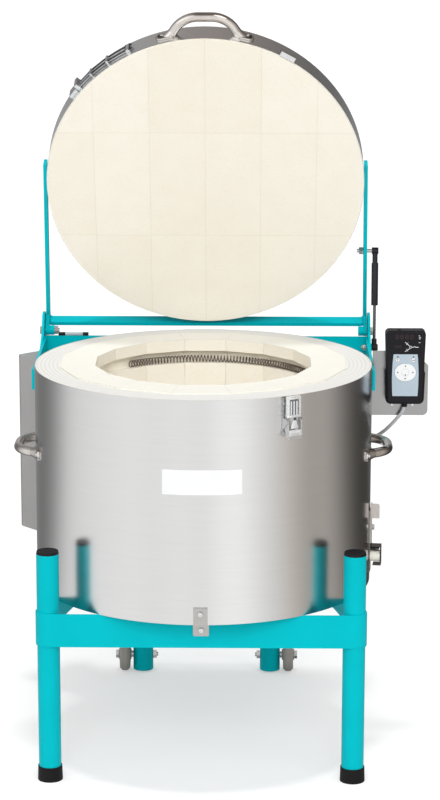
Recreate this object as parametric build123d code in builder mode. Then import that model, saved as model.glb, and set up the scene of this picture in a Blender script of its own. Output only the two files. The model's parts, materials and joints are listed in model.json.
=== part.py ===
from build123d import *
from math import asin, cos, degrees, pi, radians, sin, sqrt, tan
import os

# Pottery kiln: a round, brick-lined casing with a hinged lid, a controller on a
# bracket, a switch box behind and a stand with two wheels. Millimetres.
# The pieces are drawn round the axis of the firing chamber: X to the right,
# Y to the back, Z up from the floor. The last section moves them all together,
# so that the origin is the bottom centre of the whole kiln.

# Casing and lining
casing_bottom = 380.0
jacket_wall = 1.2
base_sheet = 2.0
base_board_thickness = 77.7
fibre_thickness = 57.5  # at the middle of each flat side of the brick wall
seat_gap = 0.3  # between faces that only rest on each other
chamber_width = 470.0  # across the flats
chamber_sides = 16
brick_rows = 3
brick_height = 114.0
brick_thickness = 76.0
brick_joint = 0.6
rim_rise = 3.0  # how far the bricks stand above the jacket
floor_brick_thickness = 64.0
brick_width = 125.0
brick_length = 260.0

# Heating elements, each a coil in a groove of its row of bricks
groove_below_top = 26.0
groove_height = 28.0
groove_depth = 20.0
groove_lip = 5.0  # how much the groove narrows towards the chamber
element_diameter = 16.0
element_gap_angle = 38.0  # where the two ends leave through the wall
element_gap_azimuth = 117.0  # the middle of that gap, to the left of the front

# Lid, drawn closed and then turned open about its hinge
lid_inset = 11.0  # from the casing's outside in to the lid's band
lid_brick_thickness = 64.0
lid_band_rise = 3.0  # from the brick face up to the band's edge
lid_band_lip = 18.0
lid_sheet = 1.2
lid_open_angle = 70.5
hinge_behind = 9.0  # from the back of the casing to the hinge
hinge_below = 5.0  # from the casing's top edge down to the hinge
strap_height = 30.0
strap_thickness = 8.0
strap_reach = 42.0  # past the lid's middle, to the front
strap_corner = 14.0
strap_drop = 5.0  # below the middle of the lid's bricks
cheek_space = 8.0  # from the strap at the lid's middle out to the cheek
hub_radius = 11.0
hub_length = 20.0
lug_radius = 11.5
pivot_bolt_radius = 5.0
running_gap = 0.05
side_play = 0.5

# Fixed hinge bracket round the back of the casing
bracket_thickness = 6.0
bracket_bar_height = 44.0
bracket_bar_reach = 4.0  # past the widest point of the casing, to the front
cheek_radius = 38.0
cheek_rise = 6.0  # of its round top over the hinge
bracket_below = 17.0  # from the casing's top edge down to the bracket's

# Gas spring
spring_stud_along = 195.0  # along the closed strap, from the hinge
spring_foot_fore = 49.0  # from the hinge to the front
spring_foot_drop = 28.0  # from the hinge down
spring_side_gap = 1.0  # between the cheek and the spring's eyes
spring_tube_radius = 7.8
spring_tube_length = 98.0
spring_rod_radius = 3.5
spring_eye_radius = 8.0
spring_eye_width = 15.0
stud_radius = 4.0

# Stand
leg_radius = 24.15
leg_wall = 2.5
front_leg_inset = 43.5  # from the casing's side in to the leg's middle
front_leg_back = 96.0  # from the casing's front back to the leg's middle
front_leg_rise = 127.0  # above the casing's bottom
foot_height = 32.0
shoe_wall = 2.85
rear_leg_x = 154.0
rear_leg_behind = 82.0  # from the back of the casing to the leg's middle
rear_leg_bottom = 4.0
hoop_height = 73.0
hoop_thickness = 3.0
cap_height = 6.0
wheel_radius = 40.0
wheel_width = 30.0
wheel_gap = 5.0
axle_radius = 5.0

# Carrying handles and lid handle
handle_tube_radius = 10.5
handle_rise = 47.0
handle_half_span = 78.0
handle_lean = 30.0  # how far its feet stand outside the ends of its grip
handle_bend = 60.0
handle_flare = 16.0  # the flared end of each leg
flange_length = 46.0
flange_beyond = 31.0  # from the leg's middle out to the flange's end
flange_width = 30.0
flange_thickness = 4.0
side_handle_below = 185.0  # from the casing's top edge

# Latch
latch_azimuth = 30.0  # to the right of the front
latch_below = 5.0  # from the casing's top edge down to the plate
latch_height = 82.0
latch_width = 38.0
latch_sheet = 2.0
latch_pivot_below = 51.0  # from the casing's top edge
latch_pivot_out = 14.0  # from the casing
latch_pin_radius = 2.0
latch_play = 0.5
bail_drop = 12.0  # from the lever's pivot down to the bail's own
bail_back = 6.3  # from the lever's pivot in to the bail's own
bail_wire_radius = 1.75
bail_height = 59.0

# Vent
vent_azimuth = 83.0
vent_rise = 59.0  # from the casing's bottom up to the tube
vent_tube_radius = 12.5
vent_bore_radius = 7.0
vent_tube_out = 24.0
vent_pivot_rise = 65.0  # from the tube up to the lever's stud
vent_sheet = 2.0
vent_strip_width = 30.0
vent_strip_drop = 36.0  # below the tube
vent_strip_rise = 106.0  # above the tube
vent_lip = 4.0
vent_lever_width = 24.0
vent_lever_rise = 118.0  # above the tube
vent_fin_height = 33.0
vent_fin_reach = 17.0
vent_cap_above = 12.0  # from the tube up to the cap's top
vent_cap_below = 7.0
vent_cap_fold = 16.0  # back under the tube
vent_stud_radius = 3.0
vent_stud_head = 5.5
air_hole_radius = 7.0  # up through the floor, over the tube's inner end
air_hole_inside = 15.0  # from the brick wall in to the hole's middle

# Switch box
box_azimuth = 137.0  # to the left of the front
box_width = 174.0
box_depth = 188.0
box_rise = 4.0  # above the casing's bottom
box_below_bar = 2.0  # below the hinge bracket's bars
box_standoff = 15.0
box_shift = -23.0  # along its own back, from the line through the casing's axis
box_sheet = 1.5

# Controller and its bracket
plate_y = 60.0
plate_width = 131.0
plate_drop = 130.0  # from the casing's top edge down to the plate's lower edge
plate_height = 146.0
plate_sheet = 2.0
plate_lid_room = 5.0  # between the plate and the lid's closed frame
controller_out = 74.0  # from the casing's side out to the controller's middle
controller_rise = 35.0  # above the plate's lower edge
controller_height = 163.0
controller_top_width = 89.0
controller_bottom_width = 79.0
controller_depth = 34.0
cable_radius = 4.0

pieces = {}


def keep(name, builder, place=None):
    """Label a finished piece and remember it in its place."""
    part = builder.part if place is None else place * builder.part
    part.label = name
    pieces[name] = part


def tangent_plane(azimuth, distance, z):
    """A plane that faces outward, azimuth degrees to the right of the front."""
    turn = radians(azimuth)
    outward = Vector(sin(turn), -cos(turn), 0)
    return Plane(
        origin=outward * distance + Vector(0, 0, z),
        x_dir=(cos(turn), sin(turn), 0),
        z_dir=outward,
    )


def side_plane(azimuth, offset=0.0):
    """A plane through the axis, for profiles drawn as (distance, height)."""
    turn = radians(azimuth)
    outward = Vector(sin(turn), -cos(turn), 0)
    to_left = Vector(-cos(turn), -sin(turn), 0)
    return Plane(origin=to_left * offset, x_dir=outward, z_dir=to_left)


def arm_face(face, y):
    """Where a face of the lid's arms stands: they spread towards the hinge."""
    return face + strap_splay * y


# Sizes that follow from the ones above
base_board_bottom = casing_bottom + base_sheet
floor_brick_bottom = base_board_bottom + base_board_thickness
chamber_floor = floor_brick_bottom + floor_brick_thickness + seat_gap
rim_z = chamber_floor + brick_rows * brick_height
casing_top = rim_z - rim_rise
casing_height = casing_top - casing_bottom
side_angle = 360 / chamber_sides
wall_inner = chamber_width / 2
wall_outer = wall_inner + brick_thickness
fibre_radius = wall_outer + fibre_thickness
casing_radius = fibre_radius + seat_gap + jacket_wall
lid_radius = casing_radius - lid_inset
hinge_y = casing_radius + hinge_behind
hinge_z = casing_top - hinge_below
bracket_top = casing_top - bracket_below
front_leg_x = casing_radius - front_leg_inset
front_leg_y = front_leg_back - casing_radius
front_leg_top = casing_bottom + front_leg_rise
rear_leg_y = casing_radius + rear_leg_behind
foot_radius = leg_radius + shoe_wall
hoop_bottom = casing_bottom - hoop_height
lid_face = rim_z + seat_gap
lid_cover_bottom = lid_face + lid_brick_thickness + seat_gap
lid_band_bottom = lid_face + lid_band_rise
lid_band_top = lid_cover_bottom + 2 * lid_sheet + seat_gap
lid_band_middle = (lid_band_bottom + lid_band_top) / 2
lid_brick_radius = lid_radius - lid_sheet - seat_gap
strap_z = lid_face + lid_brick_thickness / 2 - strap_drop
strap_inner = lid_radius + seat_gap
strap_outer = strap_inner + strap_thickness
strap_back = hinge_y - 1.0
cheek_inner = strap_outer + cheek_space
cheek_outer = cheek_inner + bracket_thickness
strap_splay = (cheek_space - side_play) / hinge_y
spring_foot_y = hinge_y - spring_foot_fore
spring_foot_z = hinge_z - spring_foot_drop
spring_x = cheek_outer + spring_side_gap + spring_eye_width / 2
opened = (
    Pos(0, hinge_y, hinge_z)
    * Rotation(-lid_open_angle, 0, 0)
    * Pos(0, -hinge_y, -hinge_z)
)


# Casing: jacket with the hole for the vent tube
vent_z = casing_bottom + vent_rise
with BuildPart() as casing_jacket:
    with BuildSketch(Plane.XY.offset(casing_bottom)):
        Circle(casing_radius)
        Circle(casing_radius - jacket_wall, mode=Mode.SUBTRACT)
    extrude(amount=casing_height)
    with BuildSketch(tangent_plane(vent_azimuth, casing_radius / 2, vent_z)):
        Circle(vent_tube_radius + seat_gap)
    extrude(amount=casing_radius, mode=Mode.SUBTRACT)
keep("casing_jacket", casing_jacket)

with BuildPart() as casing_base:
    with BuildSketch(Plane.XY.offset(casing_bottom)):
        Circle(fibre_radius)
    extrude(amount=base_sheet)
keep("casing_base", casing_base)

# Lining: board under the floor, floor bricks, fibre round the wall bricks
air_hole_reach = wall_inner - air_hole_inside
vent_inner_end = air_hole_reach - 2 * air_hole_radius
air_hole = (
    air_hole_reach * sin(radians(vent_azimuth)),
    -air_hole_reach * cos(radians(vent_azimuth)),
)
with BuildPart() as base_board:
    with BuildSketch(Plane.XY.offset(base_board_bottom)):
        Circle(fibre_radius)
    extrude(amount=floor_brick_bottom - base_board_bottom)
    with BuildSketch(tangent_plane(vent_azimuth, vent_inner_end - seat_gap, vent_z)):
        Circle(vent_tube_radius + seat_gap)
    extrude(amount=casing_radius, mode=Mode.SUBTRACT)
    with BuildSketch(Plane.XY.offset(vent_z)):
        with Locations(air_hole):
            Circle(air_hole_radius)
    extrude(amount=floor_brick_bottom - vent_z, mode=Mode.SUBTRACT)
keep("base_board", base_board)


def joint_cuts(bottom, thickness):
    """The joints of a slab of bricks: five down it and two across it."""
    with BuildPart() as cuts:
        with BuildSketch(Plane.XY.offset(bottom)):
            with GridLocations(brick_width, 0, 5, 1):
                Rectangle(brick_joint, 2 * casing_radius)
            with GridLocations(0, brick_length, 1, 2):
                Rectangle(2 * casing_radius, brick_joint)
        extrude(amount=thickness)
    return cuts.part


with BuildPart() as floor_bricks:
    with BuildSketch(Plane.XY.offset(floor_brick_bottom)):
        RegularPolygon(
            wall_outer, chamber_sides, major_radius=False, rotation=side_angle / 2
        )
    extrude(amount=floor_brick_thickness)
    with BuildSketch(Plane.XY.offset(floor_brick_bottom)):
        with Locations(air_hole):
            Circle(air_hole_radius)
    extrude(amount=floor_brick_thickness, mode=Mode.SUBTRACT)
    add(joint_cuts(floor_brick_bottom, floor_brick_thickness), mode=Mode.SUBTRACT)
keep("floor_bricks", floor_bricks)

with BuildPart() as fibre_lining:
    with BuildSketch(Plane.XY.offset(floor_brick_bottom + seat_gap)):
        Circle(fibre_radius)
        RegularPolygon(
            wall_outer + seat_gap,
            chamber_sides,
            major_radius=False,
            rotation=side_angle / 2,
            mode=Mode.SUBTRACT,
        )
    extrude(amount=casing_top - floor_brick_bottom - seat_gap)
keep("fibre_lining", fibre_lining)


def brick_row(bottom):
    """One row of wall bricks: equal blocks with a groove, mitred at their ends."""
    groove_top = bottom + brick_height - groove_below_top
    groove_low = groove_top - groove_height
    with BuildPart() as row:
        with BuildSketch(Plane.YZ.offset(-wall_outer)):
            with BuildLine():
                Polyline(
                    (wall_inner, bottom),
                    (wall_outer, bottom),
                    (wall_outer, bottom + brick_height),
                    (wall_inner, bottom + brick_height),
                    (wall_inner, groove_top),
                    (wall_inner + groove_depth, groove_top - groove_lip),
                    (wall_inner + groove_depth, groove_low),
                    (wall_inner, groove_low),
                    close=True,
                )
            make_face()
        extrude(amount=2 * wall_outer)
        with BuildSketch(Plane.XY.offset(bottom)):
            with BuildLine():
                half = tan(radians(side_angle / 2))
                inside, outside = wall_inner - 1, wall_outer + 1
                slack = brick_joint / 2
                Polyline(
                    (inside * half - slack, inside),
                    (outside * half - slack, outside),
                    (-outside * half + slack, outside),
                    (-inside * half + slack, inside),
                    close=True,
                )
            make_face()
        extrude(amount=brick_height, mode=Mode.INTERSECT)
    return row


for level, name in enumerate(("lower", "middle", "top")):
    one = brick_row(chamber_floor + level * brick_height)
    with BuildPart() as wall_bricks:
        for step in range(chamber_sides):
            add(Rotation(0, 0, step * side_angle) * one.part)
    keep("wall_bricks_" + name, wall_bricks)

# Heating elements: the outer shape of each coil, open where its ends leave
element_ring = wall_inner + groove_depth - seat_gap - element_diameter / 2
element_start = 270 - element_gap_azimuth + element_gap_angle / 2
for level, name in enumerate(("lower", "middle", "top")):
    groove_low = (
        chamber_floor + (level + 1) * brick_height - groove_below_top - groove_height
    )
    element_z = groove_low + element_diameter / 2 + seat_gap
    with BuildPart() as heating_element:
        with BuildLine():
            coil_path = CenterArc(
                (0, 0, element_z), element_ring, element_start, 360 - element_gap_angle
            )
        with BuildSketch(Plane(origin=coil_path @ 0, z_dir=coil_path % 0)):
            Circle(element_diameter / 2)
        sweep(path=coil_path)
    keep("heating_element_" + name, heating_element)

# Stand: a hoop of strip steel bent round the four legs
leg_points = [
    (-front_leg_x, front_leg_y),
    (front_leg_x, front_leg_y),
    (rear_leg_x, rear_leg_y),
    (-rear_leg_x, rear_leg_y),
]
with BuildPart() as stand_hoop:
    with BuildSketch(Plane.XY.offset(hoop_bottom)):
        with Locations(*leg_points):
            Circle(leg_radius + hoop_thickness)
        make_hull()
    extrude(amount=hoop_height)
    with BuildSketch(Plane.XY.offset(hoop_bottom)):
        with Locations(*leg_points):
            Circle(leg_radius + running_gap)
        make_hull()
    extrude(amount=hoop_height, mode=Mode.SUBTRACT)
keep("stand_hoop", stand_hoop)

for side, name in ((-1, "left"), (1, "right")):
    with BuildPart() as front_leg:
        with BuildSketch(Plane.XY.offset(foot_height - 18)):
            with Locations((side * front_leg_x, front_leg_y)):
                Circle(leg_radius)
                Circle(leg_radius - leg_wall, mode=Mode.SUBTRACT)
        extrude(amount=front_leg_top - foot_height + 18)
    keep("front_leg_" + name, front_leg)

    with BuildPart() as rear_leg:
        with BuildSketch(Plane.XY.offset(rear_leg_bottom)):
            with Locations((side * rear_leg_x, rear_leg_y)):
                Circle(leg_radius)
                Circle(leg_radius - leg_wall, mode=Mode.SUBTRACT)
        extrude(amount=casing_bottom - rear_leg_bottom)
        with BuildSketch(Plane.YZ):
            with Locations((rear_leg_y, wheel_radius)):
                Circle(axle_radius + running_gap)
        extrude(amount=2 * side * rear_leg_x, mode=Mode.SUBTRACT)
    keep("rear_leg_" + name, rear_leg)

# Black plugs in the tops of the four legs, and rubber shoes under the front ones
plug_depth = 14.0
with BuildPart() as leg_caps:
    for x, y, top in (
        (-front_leg_x, front_leg_y, front_leg_top),
        (front_leg_x, front_leg_y, front_leg_top),
        (-rear_leg_x, rear_leg_y, casing_bottom),
        (rear_leg_x, rear_leg_y, casing_bottom),
    ):
        with BuildSketch(Plane.XY.offset(top)):
            with Locations((x, y)):
                Circle(leg_radius)
        extrude(amount=cap_height, taper=12)
        with BuildSketch(Plane.XY.offset(top)):
            with Locations((x, y)):
                Circle(leg_radius - leg_wall - running_gap)
        extrude(amount=-plug_depth)
keep("leg_caps", leg_caps)

shoe_wall_bottom = 14.0
with BuildPart() as leg_feet:
    for side in (-1, 1):
        with BuildSketch(Plane.XY):
            with Locations((side * front_leg_x, front_leg_y)):
                Circle(foot_radius)
        extrude(amount=foot_height, taper=1.5)
        with BuildSketch(Plane.XY.offset(shoe_wall_bottom)):
            with Locations((side * front_leg_x, front_leg_y)):
                Circle(leg_radius + running_gap)
        extrude(amount=foot_height, mode=Mode.SUBTRACT)
keep("leg_feet", leg_feet)

# Wheels on bolts through the rear legs
wheel_near = rear_leg_x + leg_radius + wheel_gap
wheel_far = wheel_near + wheel_width
hub_step = 3.0
rim_radius = 27.0
hub_boss_radius = 13.0
tyre_round = 6.0
for side, name in ((-1, "left"), (1, "right")):
    with BuildPart() as wheel:
        with BuildSketch(Plane.XY):
            with BuildLine():
                Polyline(
                    (wheel_near, axle_radius + 2 * running_gap),
                    (wheel_far, axle_radius + 2 * running_gap),
                    (wheel_far, hub_boss_radius),
                    (wheel_far - 2 * hub_step, hub_boss_radius),
                    (wheel_far - 2 * hub_step, rim_radius),
                    (wheel_far - hub_step, rim_radius),
                    (wheel_far - hub_step, wheel_radius - tyre_round),
                    (wheel_far - hub_step - tyre_round, wheel_radius),
                    (wheel_near + hub_step + tyre_round, wheel_radius),
                    (wheel_near + hub_step, wheel_radius - tyre_round),
                    (wheel_near + hub_step, rim_radius),
                    (wheel_near + 2 * hub_step, rim_radius),
                    (wheel_near + 2 * hub_step, hub_boss_radius),
                    (wheel_near, hub_boss_radius),
                    close=True,
                )
            make_face()
        revolve(axis=Axis.X)
    turn = Rotation(0, 0, 0) if side > 0 else Rotation(0, 0, 180)
    keep("wheel_" + name, wheel, Pos(0, rear_leg_y, wheel_radius) * turn)

bolt_head_flats = 17.0
bolt_head_height = 6.4
nut_height = 8.0
with BuildPart() as wheel_axles:
    for side in (-1, 1):
        with BuildSketch(Plane.YZ.offset(side * (wheel_far + side_play))):
            with Locations((rear_leg_y, wheel_radius)):
                RegularPolygon(bolt_head_flats / 2, 6, major_radius=False)
        extrude(amount=side * bolt_head_height)
        with BuildSketch(Plane.YZ.offset(side * (wheel_far + side_play))):
            with Locations((rear_leg_y, wheel_radius)):
                Circle(axle_radius)
        axle_length = wheel_far + side_play - rear_leg_x + leg_radius + nut_height + 4
        extrude(amount=-side * axle_length)
        with BuildSketch(Plane.YZ.offset(side * (rear_leg_x - leg_radius - seat_gap))):
            with Locations((rear_leg_y, wheel_radius)):
                RegularPolygon(bolt_head_flats / 2, 6, major_radius=False)
        extrude(amount=-side * nut_height)
        with BuildSketch(Plane.YZ.offset(side * (rear_leg_x + leg_radius + seat_gap))):
            with Locations((rear_leg_y, wheel_radius)):
                Circle(axle_radius + 3)
        extrude(amount=side * (wheel_gap - seat_gap - side_play))
keep("wheel_axles", wheel_axles)

# Bracket that ties the casing to the hoop at the front
clamp_sheet = 2.0
clamp_rise = 38.0
clamp_drop = 46.0
clamp_width = 30.0
clamp_foot_width = 34.0
hoop_front = -front_leg_y + leg_radius + hoop_thickness
with BuildPart() as clamp_bracket:
    with BuildSketch(Plane.YZ.offset(-clamp_width / 2)):
        with BuildLine():
            front, back = -(casing_radius + seat_gap), -(hoop_front + seat_gap)
            under = casing_bottom - seat_gap
            Polyline(
                (front, casing_bottom + clamp_rise),
                (front, under),
                (back, under),
                (back, casing_bottom - clamp_drop),
                (back - clamp_sheet, casing_bottom - clamp_drop),
                (back - clamp_sheet, under - clamp_sheet),
                (front - clamp_sheet, under - clamp_sheet),
                (front - clamp_sheet, casing_bottom + clamp_rise),
                close=True,
            )
        make_face()
    extrude(amount=clamp_width)
    with BuildSketch(Plane.XZ.offset(hoop_front + seat_gap)):
        with Locations((0, casing_bottom - clamp_drop / 2 - 8)):
            RectangleRounded(clamp_foot_width, clamp_drop - 16, 4)
    extrude(amount=clamp_sheet)
keep("clamp_bracket", clamp_bracket)

# Hinge bracket: a bar along each side of the casing, a plate behind it and two
# cheeks that carry the lid's pivots. The left pivot bolt has a nut, the right
# one ends inside its hub.
bar_inner = casing_radius + 1.0
bar_outer = bar_inner + bracket_thickness
plate_front = casing_radius + 1.0
with BuildPart() as hinge_bracket:
    with BuildSketch(Plane.XY.offset(bracket_top - bracket_bar_height)):
        with BuildLine():
            Polyline(
                (-bar_outer, -bracket_bar_reach),
                (-bar_outer, plate_front + bracket_thickness),
                (bar_outer, plate_front + bracket_thickness),
                (bar_outer, -bracket_bar_reach),
                (bar_inner, -bracket_bar_reach),
                (bar_inner, plate_front),
                (-bar_inner, plate_front),
                (-bar_inner, -bracket_bar_reach),
                close=True,
            )
        make_face()
    extrude(amount=bracket_bar_height)
    for side in (-1, 1):
        with BuildSketch(Plane.YZ.offset(side * (bar_outer - 1.0))):
            with Locations((hinge_y, hinge_z + cheek_rise)):
                Circle(cheek_radius)
            with BuildLine():
                Polyline(
                    (hinge_y - cheek_radius, hinge_z + cheek_rise),
                    (hinge_y + cheek_radius, hinge_z + cheek_rise),
                    (hinge_y + cheek_radius, bracket_top - bracket_bar_height),
                    (hinge_y - 3 * cheek_radius, bracket_top - bracket_bar_height),
                    (hinge_y - 3 * cheek_radius, bracket_top - 14),
                    close=True,
                )
            make_face()
            with Locations((hinge_y, hinge_z)):
                Circle(pivot_bolt_radius + running_gap, mode=Mode.SUBTRACT)
        extrude(amount=side * (cheek_outer - bar_outer + 1.0))
    with BuildSketch(Plane.YZ.offset(bar_inner)):
        with Locations((spring_foot_y, spring_foot_z)):
            Circle(stud_radius + running_gap)
    extrude(amount=cheek_outer - bar_inner, mode=Mode.SUBTRACT)
keep("hinge_bracket", hinge_bracket)

with BuildPart() as pivot_bolts:
    for side in (-1, 1):
        with BuildSketch(Plane.YZ.offset(side * (cheek_outer + seat_gap))):
            with Locations((hinge_y, hinge_z)):
                RegularPolygon(bolt_head_flats / 2, 6, major_radius=False)
        extrude(amount=side * bolt_head_height)
        hub_end = cheek_inner - side_play - hub_length
        with BuildSketch(Plane.YZ.offset(side * (cheek_outer + seat_gap))):
            with Locations((hinge_y, hinge_z)):
                Circle(pivot_bolt_radius)
        beyond_hub = nut_height + 4 if side < 0 else 0
        extrude(amount=-side * (cheek_outer - hub_end + beyond_hub))
    with BuildSketch(Plane.YZ.offset(side_play - hub_end)):
        with Locations((hinge_y, hinge_z)):
            RegularPolygon(bolt_head_flats / 2, 6, major_radius=False)
    extrude(amount=nut_height)
keep("pivot_bolts", pivot_bolts)

# Lid switch: a slim cylinder that lies on the bracket's top edge at the left
switch_radius = 4.0
switch_start = 25.0 - casing_radius
switch_cap_near = 16.0
switch_body = 41.0
switch_cap_far = 13.0
switch_y = plate_front + bracket_thickness / 2
switch_z = bracket_top + switch_radius + seat_gap
with BuildPart() as lid_switch:
    with BuildSketch(Plane.YZ.offset(switch_start)):
        with Locations((switch_y, switch_z)):
            Circle(switch_radius)
    extrude(amount=switch_cap_near)
    with BuildSketch(Plane.YZ.offset(switch_start + switch_cap_near)):
        with Locations((switch_y, switch_z)):
            Circle(switch_radius - 0.5)
    extrude(amount=switch_body)
    with BuildSketch(Plane.YZ.offset(switch_start + switch_cap_near + switch_body)):
        with Locations((switch_y, switch_z)):
            Circle(switch_radius)
    extrude(amount=switch_cap_far)
keep("lid_switch", lid_switch)

# Lid: bricks held in a steel band with a folded edge over a cover sheet
with BuildPart() as lid_bricks:
    with BuildSketch(Plane.XY.offset(lid_face)):
        Circle(lid_brick_radius)
    extrude(amount=lid_brick_thickness)
    add(joint_cuts(lid_face, lid_brick_thickness), mode=Mode.SUBTRACT)
keep("lid_bricks", lid_bricks, opened)

with BuildPart() as lid_cover:
    with BuildSketch(Plane.XY.offset(lid_cover_bottom)):
        Circle(lid_brick_radius)
    extrude(amount=lid_sheet)
keep("lid_cover", lid_cover, opened)

with BuildPart() as lid_band:
    with BuildSketch(Plane.XY.offset(lid_band_bottom)):
        Circle(lid_radius)
        Circle(lid_radius - lid_sheet, mode=Mode.SUBTRACT)
    extrude(amount=lid_band_top - lid_band_bottom)
    with BuildSketch(Plane.XY.offset(lid_band_top - lid_sheet)):
        Circle(lid_radius)
        Circle(lid_radius - lid_band_lip, mode=Mode.SUBTRACT)
    extrude(amount=lid_sheet)
keep("lid_band", lid_band, opened)

# Lid frame: one flat bar bent round the lid, with a lug and a hub at each pivot
with BuildPart() as lid_frame:
    with BuildSketch(Plane.XY.offset(strap_z - strap_height / 2)) as strap:
        Polygon(
            *[
                (side * arm_face(strap_outer, y), y)
                for side, y in (
                    (-1, -strap_reach),
                    (1, -strap_reach),
                    (1, strap_back),
                    (-1, strap_back),
                )
            ],
            align=None,
        )
        fillet(strap.vertices().group_by(Axis.Y)[-1], strap_corner)
    extrude(amount=strap_height)
    with BuildSketch(Plane.XY.offset(strap_z - strap_height / 2)) as strap_hollow:
        Polygon(
            *[
                (side * arm_face(strap_inner, y), y)
                for side, y in (
                    (-1, -strap_reach),
                    (1, -strap_reach),
                    (1, strap_back - strap_thickness),
                    (-1, strap_back - strap_thickness),
                )
            ],
            align=None,
        )
        fillet(
            strap_hollow.vertices().group_by(Axis.Y)[-1],
            strap_corner - strap_thickness,
        )
    extrude(amount=strap_height, mode=Mode.SUBTRACT)
    for side in (-1, 1):
        with BuildSketch(Plane.YZ.offset(side * arm_face(strap_inner, hinge_y))):
            with Locations((hinge_y, hinge_z)):
                Circle(lug_radius)
            with Locations((strap_back - strap_corner - lug_radius, strap_z)):
                Circle(lug_radius)
            make_hull()
        extrude(amount=side * strap_thickness)
        with BuildSketch(Plane.YZ.offset(side * (cheek_inner - side_play))):
            with Locations((hinge_y, hinge_z)):
                Circle(hub_radius)
        extrude(amount=-side * hub_length)
        with BuildSketch(Plane.YZ.offset(side * (cheek_inner - side_play))):
            with Locations((hinge_y, hinge_z)):
                Circle(pivot_bolt_radius + running_gap)
        extrude(amount=-side * hub_length, mode=Mode.SUBTRACT)
    with BuildSketch(Plane.YZ.offset(strap_inner)):
        with Locations((hinge_y - spring_stud_along, strap_z)):
            Circle(stud_radius + running_gap)
    extrude(amount=strap_thickness + cheek_space, mode=Mode.SUBTRACT)
keep("lid_frame", lid_frame, opened)


def handle(mount_radius, z):
    """A bent tube on two oval flanges that follow the round wall behind them."""
    reach = mount_radius + handle_rise - handle_tube_radius
    seat = sqrt(mount_radius**2 - (handle_half_span + handle_tube_radius) ** 2)
    flange_middle = handle_half_span + flange_beyond - flange_length / 2
    azimuth = degrees(asin(flange_middle / mount_radius))
    with BuildPart() as grip:
        with BuildLine(Plane.XY.offset(z)):
            rail = FilletPolyline(
                (-handle_half_span, -seat),
                (handle_lean - handle_half_span, -reach),
                (handle_half_span - handle_lean, -reach),
                (handle_half_span, -seat),
                radius=handle_bend,
            )
        with BuildSketch(Plane(origin=rail @ 0, z_dir=rail % 0)):
            Circle(handle_tube_radius)
        sweep(path=rail)
        for end, way in ((0, 1), (1, -1)):
            up_leg = (rail % end) * way
            with BuildSketch(Plane(origin=(rail @ end) - up_leg * 12, z_dir=up_leg)):
                Circle(handle_tube_radius + 7.5)
            with BuildSketch(
                Plane(origin=(rail @ end) + up_leg * handle_flare, z_dir=up_leg)
            ):
                Circle(handle_tube_radius - 0.3)
            loft()
        for side in (-1, 1):
            with BuildSketch(tangent_plane(side * azimuth, mount_radius - 2, z)):
                SlotOverall(flange_length, flange_width)
            extrude(amount=flange_thickness + 2)
        with BuildSketch(Plane.XY.offset(z - flange_length)):
            Circle(mount_radius + seat_gap)
        extrude(amount=2 * flange_length, mode=Mode.SUBTRACT)
    return grip


side_handle_z = casing_top - side_handle_below
keep("lid_handle", handle(lid_radius, lid_band_middle), opened)
for side, name in ((-1, "left"), (1, "right")):
    keep(
        "side_handle_" + name,
        handle(casing_radius, side_handle_z),
        Rotation(0, 0, side * 90),
    )

# Two-screw tensioner that closes the lid's band, at the left of the handle: two
# rods that follow the band through links, with a taller lug at their lower end
tensioner_turns = (-26.5, -36.5, -44.0, -54.0)
tensioner_stand = 5.0
tensioner_screw_radius = 2.75
tensioner_pitch = 20.0
# azimuth, length along the band, height across it and how far it stands out
tensioner_lugs = (
    (-28.0, 12.0, 32.0, 7.0),
    (-36.5, 5.0, 32.0, 8.5),
    (-44.0, 4.0, 30.0, 8.5),
    (-50.5, 9.0, 38.0, 15.0),
    (-53.5, 24.0, 34.0, 8.5),
)
with BuildPart() as band_tensioner:
    for azimuth, lug_length, lug_height, lug_out in tensioner_lugs:
        with BuildSketch(tangent_plane(azimuth, lid_radius - 1, lid_band_middle)):
            RectangleRounded(lug_length, lug_height, 1.5)
        extrude(amount=lug_out + 1)
    reach = lid_radius + tensioner_stand
    for step in (-0.5, 0.5):
        z = lid_band_middle + step * tensioner_pitch
        bends = [
            Vector(reach * sin(radians(azimuth)), -reach * cos(radians(azimuth)), z)
            for azimuth in tensioner_turns
        ]
        for near, far in zip(bends, bends[1:]):
            with BuildSketch(Plane(origin=near, z_dir=far - near)):
                Circle(tensioner_screw_radius)
            extrude(amount=(far - near).length)
    with BuildSketch(Plane.XY.offset(lid_band_bottom)):
        Circle(lid_radius + seat_gap)
    extrude(amount=lid_band_top - lid_band_bottom, mode=Mode.SUBTRACT)
keep("band_tensioner", band_tensioner, opened)

# Keeper that the latch hooks on, a folded plate on the lid's band
keeper_width = 36.0
keeper_low = lid_face + 1.0
keeper_rise = 30.0
keeper_lip_out = 9.0
keeper_hook = 9.0
with BuildPart() as lid_keeper:
    with BuildSketch(side_plane(latch_azimuth, -keeper_width / 2)):
        with BuildLine():
            face = lid_radius + seat_gap
            skin = face + latch_sheet
            Polyline(
                (face, keeper_low),
                (skin + keeper_lip_out, keeper_low),
                (skin + keeper_lip_out, keeper_low + keeper_hook),
                (skin + keeper_lip_out - latch_sheet, keeper_low + keeper_hook),
                (skin + keeper_lip_out - latch_sheet, keeper_low + latch_sheet),
                (skin, keeper_low + latch_sheet),
                (skin, keeper_low + keeper_rise),
                (face, keeper_low + keeper_rise),
                close=True,
            )
        make_face()
    extrude(amount=keeper_width)
keep("lid_keeper", lid_keeper, opened)


# Gas spring, from a stud on the bracket to a stud on the lid's strap. A lid point
# is given along the closed strap from the hinge and above the hinge.
def lid_point(along, above):
    turn = radians(lid_open_angle)
    return Vector(
        spring_x,
        hinge_y - along * cos(turn) + above * sin(turn),
        hinge_z + along * sin(turn) + above * cos(turn),
    )


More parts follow.
